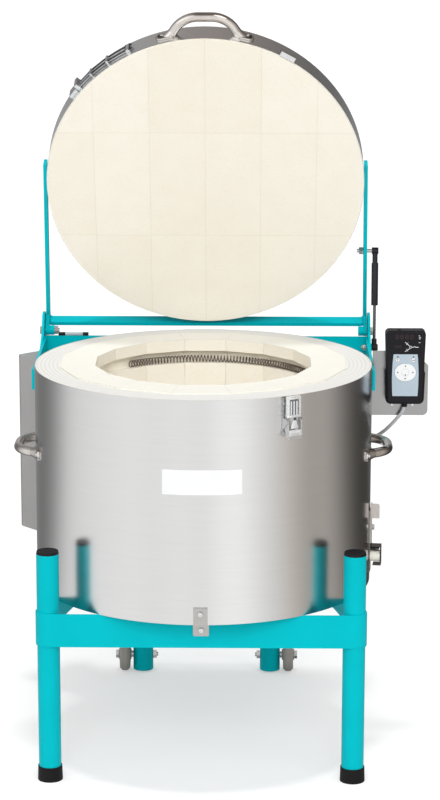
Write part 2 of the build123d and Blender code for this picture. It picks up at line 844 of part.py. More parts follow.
spring_low = Vector(spring_x, spring_foot_y, spring_foot_z)
spring_high = lid_point(spring_stud_along, strap_z - hinge_z)
spring_axis = (spring_high - spring_low).normalized()
spring_length = (spring_high - spring_low).length
spring_up = Plane(origin=spring_low, x_dir=(1, 0, 0), z_dir=spring_axis)
spring_down = Plane(origin=spring_high, x_dir=(1, 0, 0), z_dir=-spring_axis)
spring_neck = 20.0
spring_fork = 12.0
rod_end_inside = 20.0
tube_end_wall = 8.0


def eye(plane, bore, shank):
    """The end fitting of a gas spring, round about the stud's own axis."""
    across = Plane(
        origin=plane.origin - Vector(spring_eye_width / 2, 0, 0), z_dir=(1, 0, 0)
    )
    with BuildPart() as fitting:
        with BuildSketch(across):
            Circle(spring_eye_radius)
        extrude(amount=spring_eye_width)
        with BuildSketch(plane):
            Circle(spring_eye_radius - 2)
        extrude(amount=spring_eye_radius + shank)
        if bore:
            with BuildSketch(across):
                Circle(stud_radius + running_gap)
            extrude(amount=spring_eye_width, mode=Mode.SUBTRACT)
    return fitting.part


with BuildPart() as gas_spring_tube:
    add(eye(spring_down, False, spring_neck + 1))
    with BuildSketch(spring_down.offset(spring_eye_radius + spring_neck)):
        Circle(spring_tube_radius)
    extrude(amount=spring_tube_length)
    fillet(gas_spring_tube.edges().filter_by(GeomType.CIRCLE).sort_by(SortBy.RADIUS)[-1:], 1)
    with BuildSketch(spring_down.offset(spring_eye_radius + spring_neck + tube_end_wall)):
        Circle(spring_rod_radius + running_gap)
    extrude(amount=spring_tube_length, mode=Mode.SUBTRACT)
keep("gas_spring_tube", gas_spring_tube)

tube_open_end = spring_eye_radius + spring_neck + spring_tube_length
with BuildPart() as gas_spring_rod:
    add(eye(spring_up, True, spring_fork))
    with BuildSketch(spring_up.offset(spring_eye_radius)):
        Circle(spring_rod_radius)
    extrude(amount=spring_length - tube_open_end + rod_end_inside - spring_eye_radius)
keep("gas_spring_rod", gas_spring_rod)

stud_nut_flats = 13.0
stud_nut_height = 7.0
with BuildPart() as gas_spring_foot_stud:
    with BuildSketch(Plane.YZ.offset(bar_inner - stud_nut_height - 4)):
        with Locations((spring_foot_y, spring_foot_z)):
            Circle(stud_radius)
    extrude(amount=spring_x + spring_eye_width / 2 + 1 - bar_inner + stud_nut_height + 4)
    with BuildSketch(Plane.YZ.offset(bar_inner - seat_gap)):
        with Locations((spring_foot_y, spring_foot_z)):
            RegularPolygon(stud_nut_flats / 2, 6, major_radius=False)
    extrude(amount=-stud_nut_height)
    with BuildSketch(Plane.YZ.offset(spring_x + spring_eye_width / 2 + seat_gap)):
        with Locations((spring_foot_y, spring_foot_z)):
            Circle(stud_radius + 2)
    extrude(amount=1.5)
keep("gas_spring_foot_stud", gas_spring_foot_stud)

# The upper stud stops just short of the spring's upper eye
stud_end_gap = 0.6
lid_nut_flats = 16.0
lid_nut_height = 10.0
with BuildPart() as gas_spring_lid_stud:
    lid_stud_y = hinge_y - spring_stud_along
    lid_stud_start = arm_face(strap_inner, lid_stud_y) - seat_gap - lid_nut_height - 5
    with BuildSketch(Plane.YZ.offset(lid_stud_start)):
        with Locations((lid_stud_y, strap_z)):
            Circle(stud_radius)
    stud_reach = spring_x - spring_eye_width / 2 - stud_end_gap
    extrude(amount=stud_reach - lid_stud_start)
    with BuildSketch(Plane.YZ.offset(lid_stud_start + 5)):
        with Locations((lid_stud_y, strap_z)):
            RegularPolygon(lid_nut_flats / 2, 6, major_radius=False)
    extrude(amount=lid_nut_height)
keep("gas_spring_lid_stud", gas_spring_lid_stud, opened)

# Latch at the right of the front: a plate with two ears, a lever that hangs from
# them and a wire bail on the lever that hooks over the lid's keeper
latch_top = casing_top - latch_below
latch_bottom = latch_top - latch_height
latch_pivot_z = casing_top - latch_pivot_below
latch_skin = casing_radius + seat_gap + latch_sheet
pivot_out = casing_radius + latch_pivot_out
bail_out = pivot_out - bail_back
bail_z = latch_pivot_z - bail_drop
ear_inner = latch_width / 2 - latch_sheet
lever_outer = ear_inner - latch_play
lever_inner = lever_outer - latch_sheet
ear_round = 6.0
lever_tip = (pivot_out + 4, latch_bottom + 6)
lever_tip_round = 4.0
lever_face_top = bail_z - 6
lever_curl = 5.0
with BuildPart() as latch_base:
    with BuildSketch(tangent_plane(latch_azimuth, casing_radius + seat_gap, 0)):
        with Locations((0, (latch_top + latch_bottom) / 2)):
            RectangleRounded(latch_width, latch_top - latch_bottom, 3)
    extrude(amount=latch_sheet)
    for side in (-1, 1):
        with BuildSketch(side_plane(latch_azimuth, side * ear_inner)):
            with Locations((pivot_out, latch_pivot_z)):
                Circle(ear_round)
            with Locations((latch_skin, latch_pivot_z + ear_round)):
                Circle(latch_sheet / 2)
            with Locations((latch_skin, latch_pivot_z - 3 * ear_round)):
                Circle(latch_sheet / 2)
            make_hull()
        extrude(amount=side * latch_sheet)
        with BuildSketch(side_plane(latch_azimuth, side * ear_inner)):
            with Locations((pivot_out, latch_pivot_z)):
                Circle(latch_pin_radius)
        extrude(amount=-side * (latch_sheet + latch_play))
keep("latch_base", latch_base)

with BuildPart() as latch_lever:
    for side in (-1, 1):
        with BuildSketch(side_plane(latch_azimuth, side * lever_inner)):
            with Locations((pivot_out, latch_pivot_z)):
                Circle(ear_round)
            with Locations((bail_out, bail_z)):
                Circle(bail_wire_radius + latch_sheet)
            with Locations(lever_tip):
                Circle(lever_tip_round)
            make_hull()
            with Locations((pivot_out, latch_pivot_z)):
                Circle(latch_pin_radius + running_gap, mode=Mode.SUBTRACT)
            with Locations((bail_out, bail_z)):
                Circle(bail_wire_radius + running_gap, mode=Mode.SUBTRACT)
        extrude(amount=side * latch_sheet)
    with BuildSketch(side_plane(latch_azimuth, -lever_outer)):
        with BuildLine():
            tip_out, tip_z = lever_tip[0] + lever_tip_round, lever_tip[1]
            Polyline(
                (tip_out - latch_sheet - 1, lever_face_top),
                (tip_out - 1, lever_face_top),
                (tip_out, tip_z),
                (tip_out + lever_curl, latch_bottom),
                (tip_out + lever_curl - 2 * latch_sheet, latch_bottom),
                (tip_out - latch_sheet, tip_z - 1),
                close=True,
            )
        make_face()
    extrude(amount=2 * lever_outer)
keep("latch_lever", latch_lever)

bail_leg = lever_inner - bail_wire_radius - latch_play
with BuildPart() as latch_bail:
    with BuildLine(tangent_plane(latch_azimuth, bail_out, bail_z)):
        wire = FilletPolyline(
            (-lever_outer + seat_gap, 0),
            (-bail_leg, 0),
            (-bail_leg, bail_height - bail_wire_radius),
            (bail_leg, bail_height - bail_wire_radius),
            (bail_leg, 0),
            (lever_outer - seat_gap, 0),
            radius=bail_wire_radius + 0.25,
        )
    with BuildSketch(Plane(origin=wire @ 0, z_dir=wire % 0)):
        Circle(bail_wire_radius)
    sweep(path=wire)
keep("latch_bail", latch_bail)

# Vent: a ceramic tube through the casing, with a strip behind it, a cap that
# covers its mouth and a lever with a grip that swings the cap aside
vent_pivot_z = vent_z + vent_pivot_rise
vent_strip_low = vent_z - vent_strip_drop
vent_strip_top = vent_z + vent_strip_rise
vent_lever_top = vent_z + vent_lever_rise
strip_face = casing_radius + seat_gap + vent_sheet
lever_face = strip_face + seat_gap
lever_skin = lever_face + vent_sheet
cap_reach = casing_radius + vent_tube_out + seat_gap
with BuildPart() as vent_tube:
    with BuildSketch(tangent_plane(vent_azimuth, vent_inner_end, vent_z)):
        Circle(vent_tube_radius)
        Circle(vent_bore_radius, mode=Mode.SUBTRACT)
    extrude(amount=casing_radius + vent_tube_out - vent_inner_end)
keep("vent_tube", vent_tube)

with BuildPart() as vent_strip:
    with BuildSketch(tangent_plane(vent_azimuth, casing_radius + seat_gap, 0)):
        with Locations((0, (vent_strip_low + vent_strip_top) / 2)):
            RectangleRounded(vent_strip_width, vent_strip_top - vent_strip_low, 3)
        with Locations((0, vent_z)):
            Circle(vent_tube_radius + seat_gap, mode=Mode.SUBTRACT)
        with Locations((0, vent_pivot_z)):
            Circle(vent_stud_radius + running_gap, mode=Mode.SUBTRACT)
    extrude(amount=vent_sheet)
keep("vent_strip", vent_strip)

with BuildPart() as vent_stud:
    with BuildSketch(tangent_plane(vent_azimuth, casing_radius, vent_pivot_z)):
        Circle(vent_stud_radius)
    extrude(amount=lever_skin + seat_gap - casing_radius)
    with BuildSketch(tangent_plane(vent_azimuth, lever_skin + seat_gap, vent_pivot_z)):
        RegularPolygon(vent_stud_head, 6, major_radius=False)
    extrude(amount=vent_stud_head)
keep("vent_stud", vent_stud)

cap_low = vent_z - vent_tube_radius - vent_cap_below
cap_high = vent_z + vent_tube_radius + vent_cap_above
with BuildPart() as vent_cap:
    with BuildSketch(side_plane(vent_azimuth, -vent_lever_width / 2)):
        with BuildLine():
            Polyline(
                (lever_face, vent_lever_top),
                (lever_skin, vent_lever_top),
                (lever_skin, cap_high),
                (cap_reach + vent_sheet, cap_high),
                (cap_reach + vent_sheet, cap_low),
                (cap_reach - vent_cap_fold, cap_low),
                (cap_reach - vent_cap_fold, cap_low + vent_sheet),
                (cap_reach, cap_low + vent_sheet),
                (cap_reach, cap_high - vent_sheet),
                (lever_face, cap_high - vent_sheet),
                close=True,
            )
        make_face()
    extrude(amount=vent_lever_width)
    with BuildSketch(tangent_plane(vent_azimuth, lever_face, vent_pivot_z)):
        Circle(vent_stud_radius + running_gap)
    extrude(amount=vent_sheet, mode=Mode.SUBTRACT)
    with BuildSketch(side_plane(vent_azimuth, -vent_sheet / 2)):
        with Locations((lever_skin + vent_fin_reach / 2, vent_lever_top - vent_fin_height / 2)):
            Rectangle(vent_fin_reach, vent_fin_height)
    extrude(amount=vent_sheet)
    grip_ends = vent_cap.edges().filter_by(lambda e: e.length < vent_sheet + 0.01)
    fillet(grip_ends.sort_by(SortBy.DISTANCE)[-2:], 5)
keep("vent_cap", vent_cap)

# Switch box on four standoffs behind the casing
box_bottom = casing_bottom + box_rise
box_height = bracket_top - bracket_bar_height - box_below_bar - box_bottom
box_turn = Rotation(0, 0, -box_azimuth)
box_face = -(casing_radius + box_standoff)
box_corner = 2.5
louvre_slots = 6
louvre_pitch = 9.0
louvre_z = box_bottom + box_height - 50.0
with BuildPart() as switch_box:
    with BuildSketch(Plane.XY.offset(box_bottom)):
        with Locations((box_shift, box_face - box_depth / 2)):
            RectangleRounded(box_width, box_depth, box_corner)
    extrude(amount=box_height)
    with BuildSketch(Plane.XY.offset(box_bottom + box_sheet)):
        with Locations((box_shift, box_face - (box_depth + box_sheet) / 2)):
            Rectangle(box_width - 2 * box_sheet, box_depth - box_sheet)
    extrude(amount=box_height - 2 * box_sheet, mode=Mode.SUBTRACT)
    with BuildSketch(Plane.YZ.offset(box_shift - box_width / 2)):
        with Locations((box_face - box_depth / 2, louvre_z)):
            with GridLocations(0, louvre_pitch, 1, louvre_slots):
                SlotOverall(box_depth / 2, 3)
    extrude(amount=box_width, mode=Mode.SUBTRACT)
keep("switch_box", switch_box, box_turn)

cover_back = box_face - box_depth
with BuildPart() as switch_box_cover:
    with BuildSketch(Plane.XZ.offset(-cover_back + seat_gap)):
        with Locations((box_shift, box_bottom + box_height / 2)):
            RectangleRounded(box_width, box_height, box_corner)
    extrude(amount=box_sheet)
keep("switch_box_cover", switch_box_cover, box_turn)

standoff_radius = 7.0
with BuildPart() as box_standoffs:
    with BuildSketch(Plane.XZ.offset(-box_face - box_standoff)):
        with Locations((0, box_bottom + box_height / 2)):
            with GridLocations(box_width / 3, box_height * 2 / 3, 2, 2):
                Circle(standoff_radius)
    extrude(amount=box_standoff - seat_gap)
    with BuildSketch(Plane.XY.offset(box_bottom)):
        Circle(casing_radius + seat_gap)
    extrude(amount=box_height, mode=Mode.SUBTRACT)
keep("box_standoffs", box_standoffs, box_turn)

gland_flats = 19.0
gland_nut = 8.0
gland_neck = 12.0
cable_gland_z = box_bottom + 40.0
cable_gland_in = 50.0  # from the face of the box that is near the casing
gland_plane = Plane(
    origin=(box_shift - box_width / 2 - seat_gap, box_face - cable_gland_in, cable_gland_z),
    z_dir=(-1, 0, 0),
)
with BuildPart() as cable_gland:
    with BuildSketch(gland_plane):
        RegularPolygon(gland_flats / 2, 6, major_radius=False)
    extrude(amount=gland_nut)
    with BuildSketch(gland_plane.offset(gland_nut)):
        Circle(gland_flats / 2 - 1)
    extrude(amount=gland_neck, taper=8)
    with BuildSketch(gland_plane.offset(gland_nut)):
        Circle(cable_radius + seat_gap)
    extrude(amount=gland_neck, mode=Mode.SUBTRACT)
keep("cable_gland", cable_gland, box_turn)

# Controller: a bent plate on the casing, a cradle on the plate and the tapered
# case in the cradle, with a window, four keys, a rocking pad and a top button
plate_left = casing_radius - 4.0
plate_right = plate_left + plate_width
plate_bottom = casing_top - plate_drop
plate_top = plate_bottom + plate_height
plate_step = bracket_top - bracket_bar_height / 2
plate_cut = 33.0
plate_corner = 12.0
flange_from = 90 + degrees(asin((plate_y - plate_sheet / 2) / casing_radius))
flange_turn = 5.8
flange_margin = 20.0
with BuildPart() as controller_plate:
    with BuildSketch(Plane.XZ.offset(-plate_y)) as plate_outline:
        with BuildLine():
            Polyline(
                (plate_left, plate_bottom),
                (plate_right, plate_bottom),
                (plate_right, plate_top - plate_cut),
                (plate_right - plate_cut, plate_top),
                (arm_face(strap_outer, plate_y) + plate_lid_room, plate_top),
                (arm_face(strap_outer, plate_y) + plate_lid_room, plate_step),
                (plate_left, plate_step),
                close=True,
            )
        make_face()
        with Locations((bar_outer + seat_gap, plate_step)):
            Rectangle(
                bar_outer + seat_gap - plate_left,
                bracket_bar_height + 2 * seat_gap,
                align=(Align.MAX, Align.CENTER),
                mode=Mode.SUBTRACT,
            )
        fillet(plate_outline.vertices().group_by(Axis.X)[-1].sort_by(Axis.Y)[0], plate_corner)
    extrude(amount=plate_sheet)
    with BuildSketch(Plane.XY.offset(plate_bottom + flange_margin / 2)):
        Circle(casing_radius + seat_gap + plate_sheet)
        Circle(casing_radius + seat_gap, mode=Mode.SUBTRACT)
        wedge = [
            (2 * casing_radius * sin(radians(a)), -2 * casing_radius * cos(radians(a)))
            for a in (flange_from, flange_from + flange_turn)
        ]
        Polygon((0, 0), *wedge, align=None, mode=Mode.INTERSECT)
    extrude(amount=casing_top - plate_bottom - flange_margin)
keep("controller_plate", controller_plate)


controller_x = casing_radius + controller_out
controller_bottom = plate_bottom + controller_rise


def case_corners(low, high, grow=0.0):
    """The case's tapered front outline between two heights, wider by grow."""
    taper = (controller_top_width - controller_bottom_width) / 2 / controller_height
    return [
        (
            controller_x
            + side
            * (controller_bottom_width / 2 + taper * (z - controller_bottom) + grow),
            z,
        )
        for z, side in ((low, -1), (low, 1), (high, 1), (high, -1))
    ]


cradle_wall = 2.5
cradle_height = 67.0  # above the controller's lower end
cradle_grip = 26.0  # how far its sides reach along the case from the back
cradle_back = plate_y - plate_sheet - seat_gap
case_back = cradle_back - cradle_wall - seat_gap
case_front = case_back - controller_depth
case_middle = case_back - controller_depth / 2
case_top = controller_bottom + controller_height
cradle_top = controller_bottom + cradle_height
case_round = 9.0
case_edge = 4.0
window_width = 70.0
window_height = 45.0
window_depth = 1.5
window_margin = 5.5  # from the controller's top edge
window_z = case_top - window_margin - window_height / 2
keypad_width = 54.0
keypad_margin = 17.0  # from the controller's lower end
keypad_window_gap = 3.5
keypad_low = controller_bottom + keypad_margin
keypad_high = window_z - window_height / 2 - keypad_window_gap
keypad_z = (keypad_low + keypad_high) / 2
keypad_height = keypad_high - keypad_low
keypad_depth = 0.6
key_radius = 4.5
key_x = 17.2
key_z = keypad_high - 11.0
pad_z = key_z - 27.5
pad_width = 47.0
pad_height = 39.5
select_radius = 8.0
key_play = 0.25
key_proud = 1.2
key_travel = 1.0
key_depth = 2.5
key_pocket = key_depth + key_travel + seat_gap
power_x = controller_x - 13.5
power_radius = 5.0
relief_radius = 7.0
relief_length = 10.0
relief_bore = 6.0
small_keys = {
    "key_left": (controller_x - key_x, key_z),
    "key_right": (controller_x + key_x, key_z),
}
face_plane = Plane.XZ.offset(-case_front)
with BuildPart() as controller_case:
    with BuildSketch(Plane.XZ.offset(-case_back)) as case_outline:
        Polygon(*case_corners(controller_bottom, case_top), align=None)
        fillet(case_outline.vertices(), case_round)
    extrude(amount=controller_depth)
    fillet(controller_case.faces().sort_by(Axis.Y)[0].edges(), case_edge)
    with BuildSketch(face_plane):
        with Locations((controller_x, window_z)):
            RectangleRounded(window_width, window_height, 3)
    extrude(amount=-window_depth, mode=Mode.SUBTRACT)
    with BuildSketch(face_plane):
        with Locations((controller_x, keypad_z)):
            RectangleRounded(keypad_width, keypad_height, 3)
    extrude(amount=-keypad_depth, mode=Mode.SUBTRACT)
    with BuildSketch(face_plane):
        with Locations(*small_keys.values()):
            Circle(key_radius + key_play)
        with Locations((controller_x, pad_z)):
            Ellipse(pad_width / 2 + key_play, pad_height / 2 + key_play)
    extrude(amount=-key_pocket, mode=Mode.SUBTRACT)
    with BuildSketch(Plane.XY.offset(case_top)):
        with Locations((power_x, case_middle)):
            Circle(power_radius + key_play)
    extrude(amount=-key_pocket, mode=Mode.SUBTRACT)
keep("controller_case", controller_case)

with BuildPart() as controller_window:
    with BuildSketch(Plane.XZ.offset(-case_front - window_depth + seat_gap / 2)):
        with Locations((controller_x, window_z)):
            RectangleRounded(window_width - seat_gap, window_height - seat_gap, 3)
    extrude(amount=window_depth)
keep("controller_window", controller_window)

with BuildPart() as controller_cradle:
    with BuildSketch(Plane.XZ.offset(-cradle_back)) as cradle_outline:
        shell = seat_gap + cradle_wall
        Polygon(*case_corners(controller_bottom - shell, cradle_top, shell), align=None)
        fillet(cradle_outline.vertices().group_by(Axis.Y)[0], case_round + shell)
    extrude(amount=cradle_wall + cradle_grip)
    with BuildSketch(Plane.XZ.offset(-case_back - seat_gap)) as cradle_hollow:
        Polygon(*case_corners(controller_bottom - seat_gap, cradle_top, seat_gap), align=None)
        fillet(cradle_hollow.vertices().group_by(Axis.Y)[0], case_round + seat_gap)
    extrude(amount=cradle_grip + seat_gap, mode=Mode.SUBTRACT)
    with BuildSketch(Plane.XY.offset(controller_bottom)):
        with Locations((controller_x, case_middle)):
            Circle(relief_radius + seat_gap)
    extrude(amount=-2 * cradle_wall, mode=Mode.SUBTRACT)
keep("controller_cradle", controller_cradle)

for name, place in small_keys.items():
    with BuildPart() as small_key:
        with BuildSketch(face_plane.offset(-key_depth)):
            with Locations(place):
                Circle(key_radius)
        extrude(amount=key_depth + key_proud)
        fillet(small_key.faces().sort_by(Axis.Y)[0].edges(), key_proud / 2)
    keep(name, small_key)

with BuildPart() as nav_pad:
    with BuildSketch(face_plane.offset(-key_depth)):
        with Locations((controller_x, pad_z)):
            Ellipse(pad_width / 2, pad_height / 2)
            Circle(select_radius + key_play, mode=Mode.SUBTRACT)
    extrude(amount=key_depth + key_proud)
keep("nav_pad", nav_pad)

with BuildPart() as select_key:
    with BuildSketch(face_plane.offset(-key_depth)):
        with Locations((controller_x, pad_z)):
            Circle(select_radius)
    extrude(amount=key_depth + key_proud)
    fillet(select_key.faces().sort_by(Axis.Y)[0].edges(), key_proud / 2)
keep("select_key", select_key)

with BuildPart() as power_button:
    with BuildSketch(Plane.XY.offset(case_top - key_depth)):
        with Locations((power_x, case_middle)):
            Circle(power_radius)
    extrude(amount=key_depth + key_proud)
keep("power_button", power_button)

relief_top = controller_bottom - seat_gap
with BuildPart() as cable_relief:
    with BuildSketch(Plane.XY.offset(relief_top)):
        with Locations((controller_x, case_middle)):
            Circle(relief_radius)
    extrude(amount=-relief_length, taper=4)
    with BuildSketch(Plane.XY.offset(relief_top - relief_length)):
        with Locations((controller_x, case_middle)):
            Circle(cable_radius + seat_gap)
    extrude(amount=relief_bore, mode=Mode.SUBTRACT)
keep("cable_relief", cable_relief)

# Cable from under the controller round the back to the switch box. It leaves its
# two fittings straight, and each bend is as large as the runs beside it allow.
cable_start = Vector(controller_x, case_middle, relief_top - relief_length + relief_bore)
gland_mouth = gland_plane.offset(gland_nut).origin.rotate(Axis.Z, -box_azimuth)
gland_out = gland_plane.z_dir.rotate(Axis.Z, -box_azimuth)
cable_points = [
    cable_start,
    Vector(controller_x, case_middle, 750),
    Vector(430, 48, 729),
    Vector(415, 62, 708),
    Vector(400, 92, 685),
    Vector(382, 146, 660),
    Vector(346, 206, 632),
    Vector(296, 262, 600),
    Vector(238, 316, 564),
    Vector(172, 356, 527),
    Vector(98, 384, 494),
    Vector(24, 402, 464),
    Vector(-46, 420, 442),
    Vector(-108, 436, 429),
    gland_mouth + gland_out * 42,
    gland_mouth,
]
cable_runs = [far - near for near, far in zip(cable_points, cable_points[1:])]
cable_radii = [
    0.45 * min(run.length, after.length) / tan(radians(run.get_angle(after)) / 2)
    for run, after in zip(cable_runs, cable_runs[1:])
]
with BuildPart() as controller_cable:
    with BuildLine():
        route = FilletPolyline(*cable_points, radius=cable_radii)
    with BuildSketch(Plane(origin=route @ 0, z_dir=route % 0)):
        Circle(cable_radius)
    sweep(path=route)
keep("controller_cable", controller_cable)
print("cable bend radii", [round(radius) for radius in cable_radii])
tube_volume = pi * cable_radius**2 * route.length
print("cable volume over section times length", controller_cable.part.volume / tube_volume)

# Bring the bottom centre of the kiln, without its cable, to the origin and write
# each piece
boxes = [part.bounding_box() for name, part in pieces.items() if name != "controller_cable"]
centre_x = (min(box.min.X for box in boxes) + max(box.max.X for box in boxes)) / 2
centre_y = (min(box.min.Y for box in boxes) + max(box.max.Y for box in boxes)) / 2
shift = Pos(-round(centre_x), -round(centre_y), 0)
print("moved by", -round(centre_x), -round(centre_y))
os.makedirs("parts", exist_ok=True)
for name, part in pieces.items():
    placed = shift * part
    placed.label = name
    export_step(placed, f"parts/{name}.step")
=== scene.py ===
# %% [markdown]
# # A round pottery kiln
# The kiln stands open: a round steel casing with a brick lining, a lid that leans back
# on a painted frame, a stand on two wheels, a controller on the right and a switch box
# behind. The engineering model is loaded first and fixes every place and size. This
# script adds the finishes, the fine pieces and the light.

# %% Load the engineering model
import json
import math

import bmesh
import bpy
from mathutils import Matrix, Vector


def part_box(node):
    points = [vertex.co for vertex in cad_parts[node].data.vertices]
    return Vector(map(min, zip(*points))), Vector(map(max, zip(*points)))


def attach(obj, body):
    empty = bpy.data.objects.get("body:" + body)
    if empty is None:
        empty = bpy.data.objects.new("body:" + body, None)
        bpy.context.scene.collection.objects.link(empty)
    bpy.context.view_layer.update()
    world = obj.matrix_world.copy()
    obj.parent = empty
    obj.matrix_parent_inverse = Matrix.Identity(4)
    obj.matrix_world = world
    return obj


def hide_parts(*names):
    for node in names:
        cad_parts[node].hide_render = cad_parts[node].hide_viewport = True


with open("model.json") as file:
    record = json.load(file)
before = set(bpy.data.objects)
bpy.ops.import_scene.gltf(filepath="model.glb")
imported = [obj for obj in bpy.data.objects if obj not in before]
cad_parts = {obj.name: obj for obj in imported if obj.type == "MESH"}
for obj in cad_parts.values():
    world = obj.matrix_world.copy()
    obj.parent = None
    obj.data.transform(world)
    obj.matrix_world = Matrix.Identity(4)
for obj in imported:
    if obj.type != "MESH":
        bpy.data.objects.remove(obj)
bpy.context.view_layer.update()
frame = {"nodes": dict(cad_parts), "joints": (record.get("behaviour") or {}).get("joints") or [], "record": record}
nodes = frame["nodes"]
bpy.ops.object.select_all(action="DESELECT")

# %% [markdown]
# ## Where things are
# Everything round on the kiln shares one upright axis, taken from the steel jacket's
# box. A spot is given as an angle to the right of the front, a distance from the axis
# and a height. Sizes are written in millimetres and turned into Blender's metres.

# %% The kiln's axis, and spots given from it
MM = 0.001
jacket_low, jacket_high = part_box("casing_jacket")
axis = (jacket_low + jacket_high) / 2
casing_radius = (jacket_high.x - jacket_low.x) / 2 / MM


def turned(degrees, about):
    """The matrix of a turn about an axis."""
    return Matrix.Rotation(math.radians(degrees), 4, about)


def new_object(name, data):
    """A new object in the scene."""
    made = bpy.data.objects.new(name, data)
    bpy.context.scene.collection.objects.link(made)
    return made


def outward(azimuth):
    """The level direction away from the axis, azimuth degrees to the right of the front."""
    turn = math.radians(azimuth)
    return Vector((math.sin(turn), -math.cos(turn), 0.0))


def on_axis(height=0.0):
    """The point of the kiln's axis at a height in millimetres."""
    return Vector((axis.x, axis.y, height * MM))


def spot(azimuth, distance, height):
    """A point given by its angle, distance from the axis and height, in millimetres."""
    return on_axis(height) + outward(azimuth) * distance * MM


print("the casing's radius is", round(casing_radius, 2), "mm")

# %% [markdown]
# The lid was drawn closed and turned open about its hinge. Pieces on the lid are placed
# in the same way, so one matrix repeats that turn, from the model's own joint.

# %% How the open lid is turned
hinge_joint = next(j for j in frame["joints"] if j["name"] == "lid_hinge")
hinge = Vector(hinge_joint["pos_m"])
lid_travel = hinge_joint["range_deg"][1]
opened = Matrix.Translation(hinge) @ turned(-lid_travel, "X") @ Matrix.Translation(-hinge)
print("the lid is open by", lid_travel, "degrees")

# %% [markdown]
# ## The camera
# The picture was taken from in front and a little above with a long lens. Least squares on the casing, the stand
# and the lid gave the place, tilt and lens, for a distance that was set to 15 casing radii. The photo doesn't
# settle that distance: larger ones fitted slightly better.

# %% Make the camera
camera_from_axis = Vector((95.5, -5550.0, 2060.6)) * MM
camera_turn, camera_tilt, camera_roll = 0.61, 13.0, 0.09
focal_pixels, picture_height, sensor = 2589, 800, 36.0
camera_data = bpy.data.cameras.new("camera")
camera_data.sensor_width = sensor
camera_data.lens = sensor * focal_pixels / picture_height
camera = new_object("camera", camera_data)
camera.location = on_axis() + camera_from_axis
camera.rotation_euler = (
    turned(camera_turn, "Z") @ turned(90 - camera_tilt, "X") @ turned(camera_roll, "Z")
).to_euler()
bpy.context.scene.camera = camera
print("lens", round(camera_data.lens, 2), "mm")

# %% [markdown]
# ## The controller's cable
# A grey cable leaves the controller downwards, passes above the handle and goes round
# the back of the casing to the switch box. A NURBS curve of order 3 is smooth and stays
# close to its points. The order is set last, since Blender lowers it for few points.

# %% Lay the cable
cable_diameter = 8.0
cable_points = [
    (415.0, -24.1, 763.7), (415.0, -24.1, 750.0), (401.0, -14.0, 729.0),
    (386.0, 0.0, 708.0), (371.0, 30.0, 685.0), (353.0, 84.0, 660.0),
    (317.0, 144.0, 632.0), (267.0, 200.0, 600.0), (209.0, 254.0, 564.0),
    (143.0, 294.0, 527.0), (69.0, 322.0, 494.0), (-5.0, 340.0, 464.0),
    (-75.0, 358.0, 442.0), (-137.0, 374.0, 429.0), (-208.43, 365.46, 424.0),
    (-239.15, 336.82, 424.0),
]
cable_curve = bpy.data.curves.new("cable", "CURVE")
cable_curve.dimensions = "3D"
# The points' radii carry the thickness, because they widen the curve's box too.
cable_curve.bevel_depth = 1.0
cable_curve.bevel_resolution = 4
cable_curve.resolution_u = 10
cable_line = cable_curve.splines.new("NURBS")
cable_line.points.add(len(cable_points) - 1)
for control, place in zip(cable_line.points, cable_points):
    control.co = (*(Vector(place) * MM), 1.0)
    control.radius = cable_diameter / 2 * MM
cable_line.order_u = 3
cable_line.use_endpoint_u = True
cable = new_object("cable", cable_curve)
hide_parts("controller_cable")
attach(cable, "kiln")
Vector(cable_points[0]) * MM
print("cable runs through", len(cable_points), "points")

# %% [markdown]
# ## Building node trees
# Every finish is made from Blender's shader nodes. Nodes adds a node from its kind, its
# sockets and its settings. Level wraps one number that changes over a surface, so that
# a sum such as 1 - dust * 0.2 adds the Math nodes it needs.

# %% A number that changes over a surface
def maths_method(operation, reflected=False):
    """A method that adds the Math node of an operator, the other way round if reflected."""

    def method(self, other):
        return self.maths(operation, *((other, self) if reflected else (self, other)))

    return method


class Level:
    """A number that changes over a surface. Sums written with it become Math nodes."""

    def __init__(self, nodes_of, socket):
        self.nodes_of = nodes_of
        self.socket = socket

    def maths(self, operation, *terms, clamp=False):
        """Add a Math node of these terms, or of this level alone."""
        sockets = dict(enumerate(terms or (self,)))
        return self.nodes_of.level("Math", sockets, operation=operation, use_clamp=clamp)

    def between(self, low, high):
        """A level that is 0 up to low, 1 beyond high and rises evenly between them."""
        return self.maths("DIVIDE", self - low, high - low, clamp=True)

    __add__, __radd__ = maths_method("ADD"), maths_method("ADD", reflected=True)
    __sub__, __rsub__ = maths_method("SUBTRACT"), maths_method("SUBTRACT", reflected=True)
    __mul__, __rmul__ = maths_method("MULTIPLY"), maths_method("MULTIPLY", reflected=True)
    __truediv__, __rtruediv__ = maths_method("DIVIDE"), maths_method("DIVIDE", reflected=True)
    __gt__, __lt__ = maths_method("GREATER_THAN"), maths_method("LESS_THAN")


print("levels are ready")


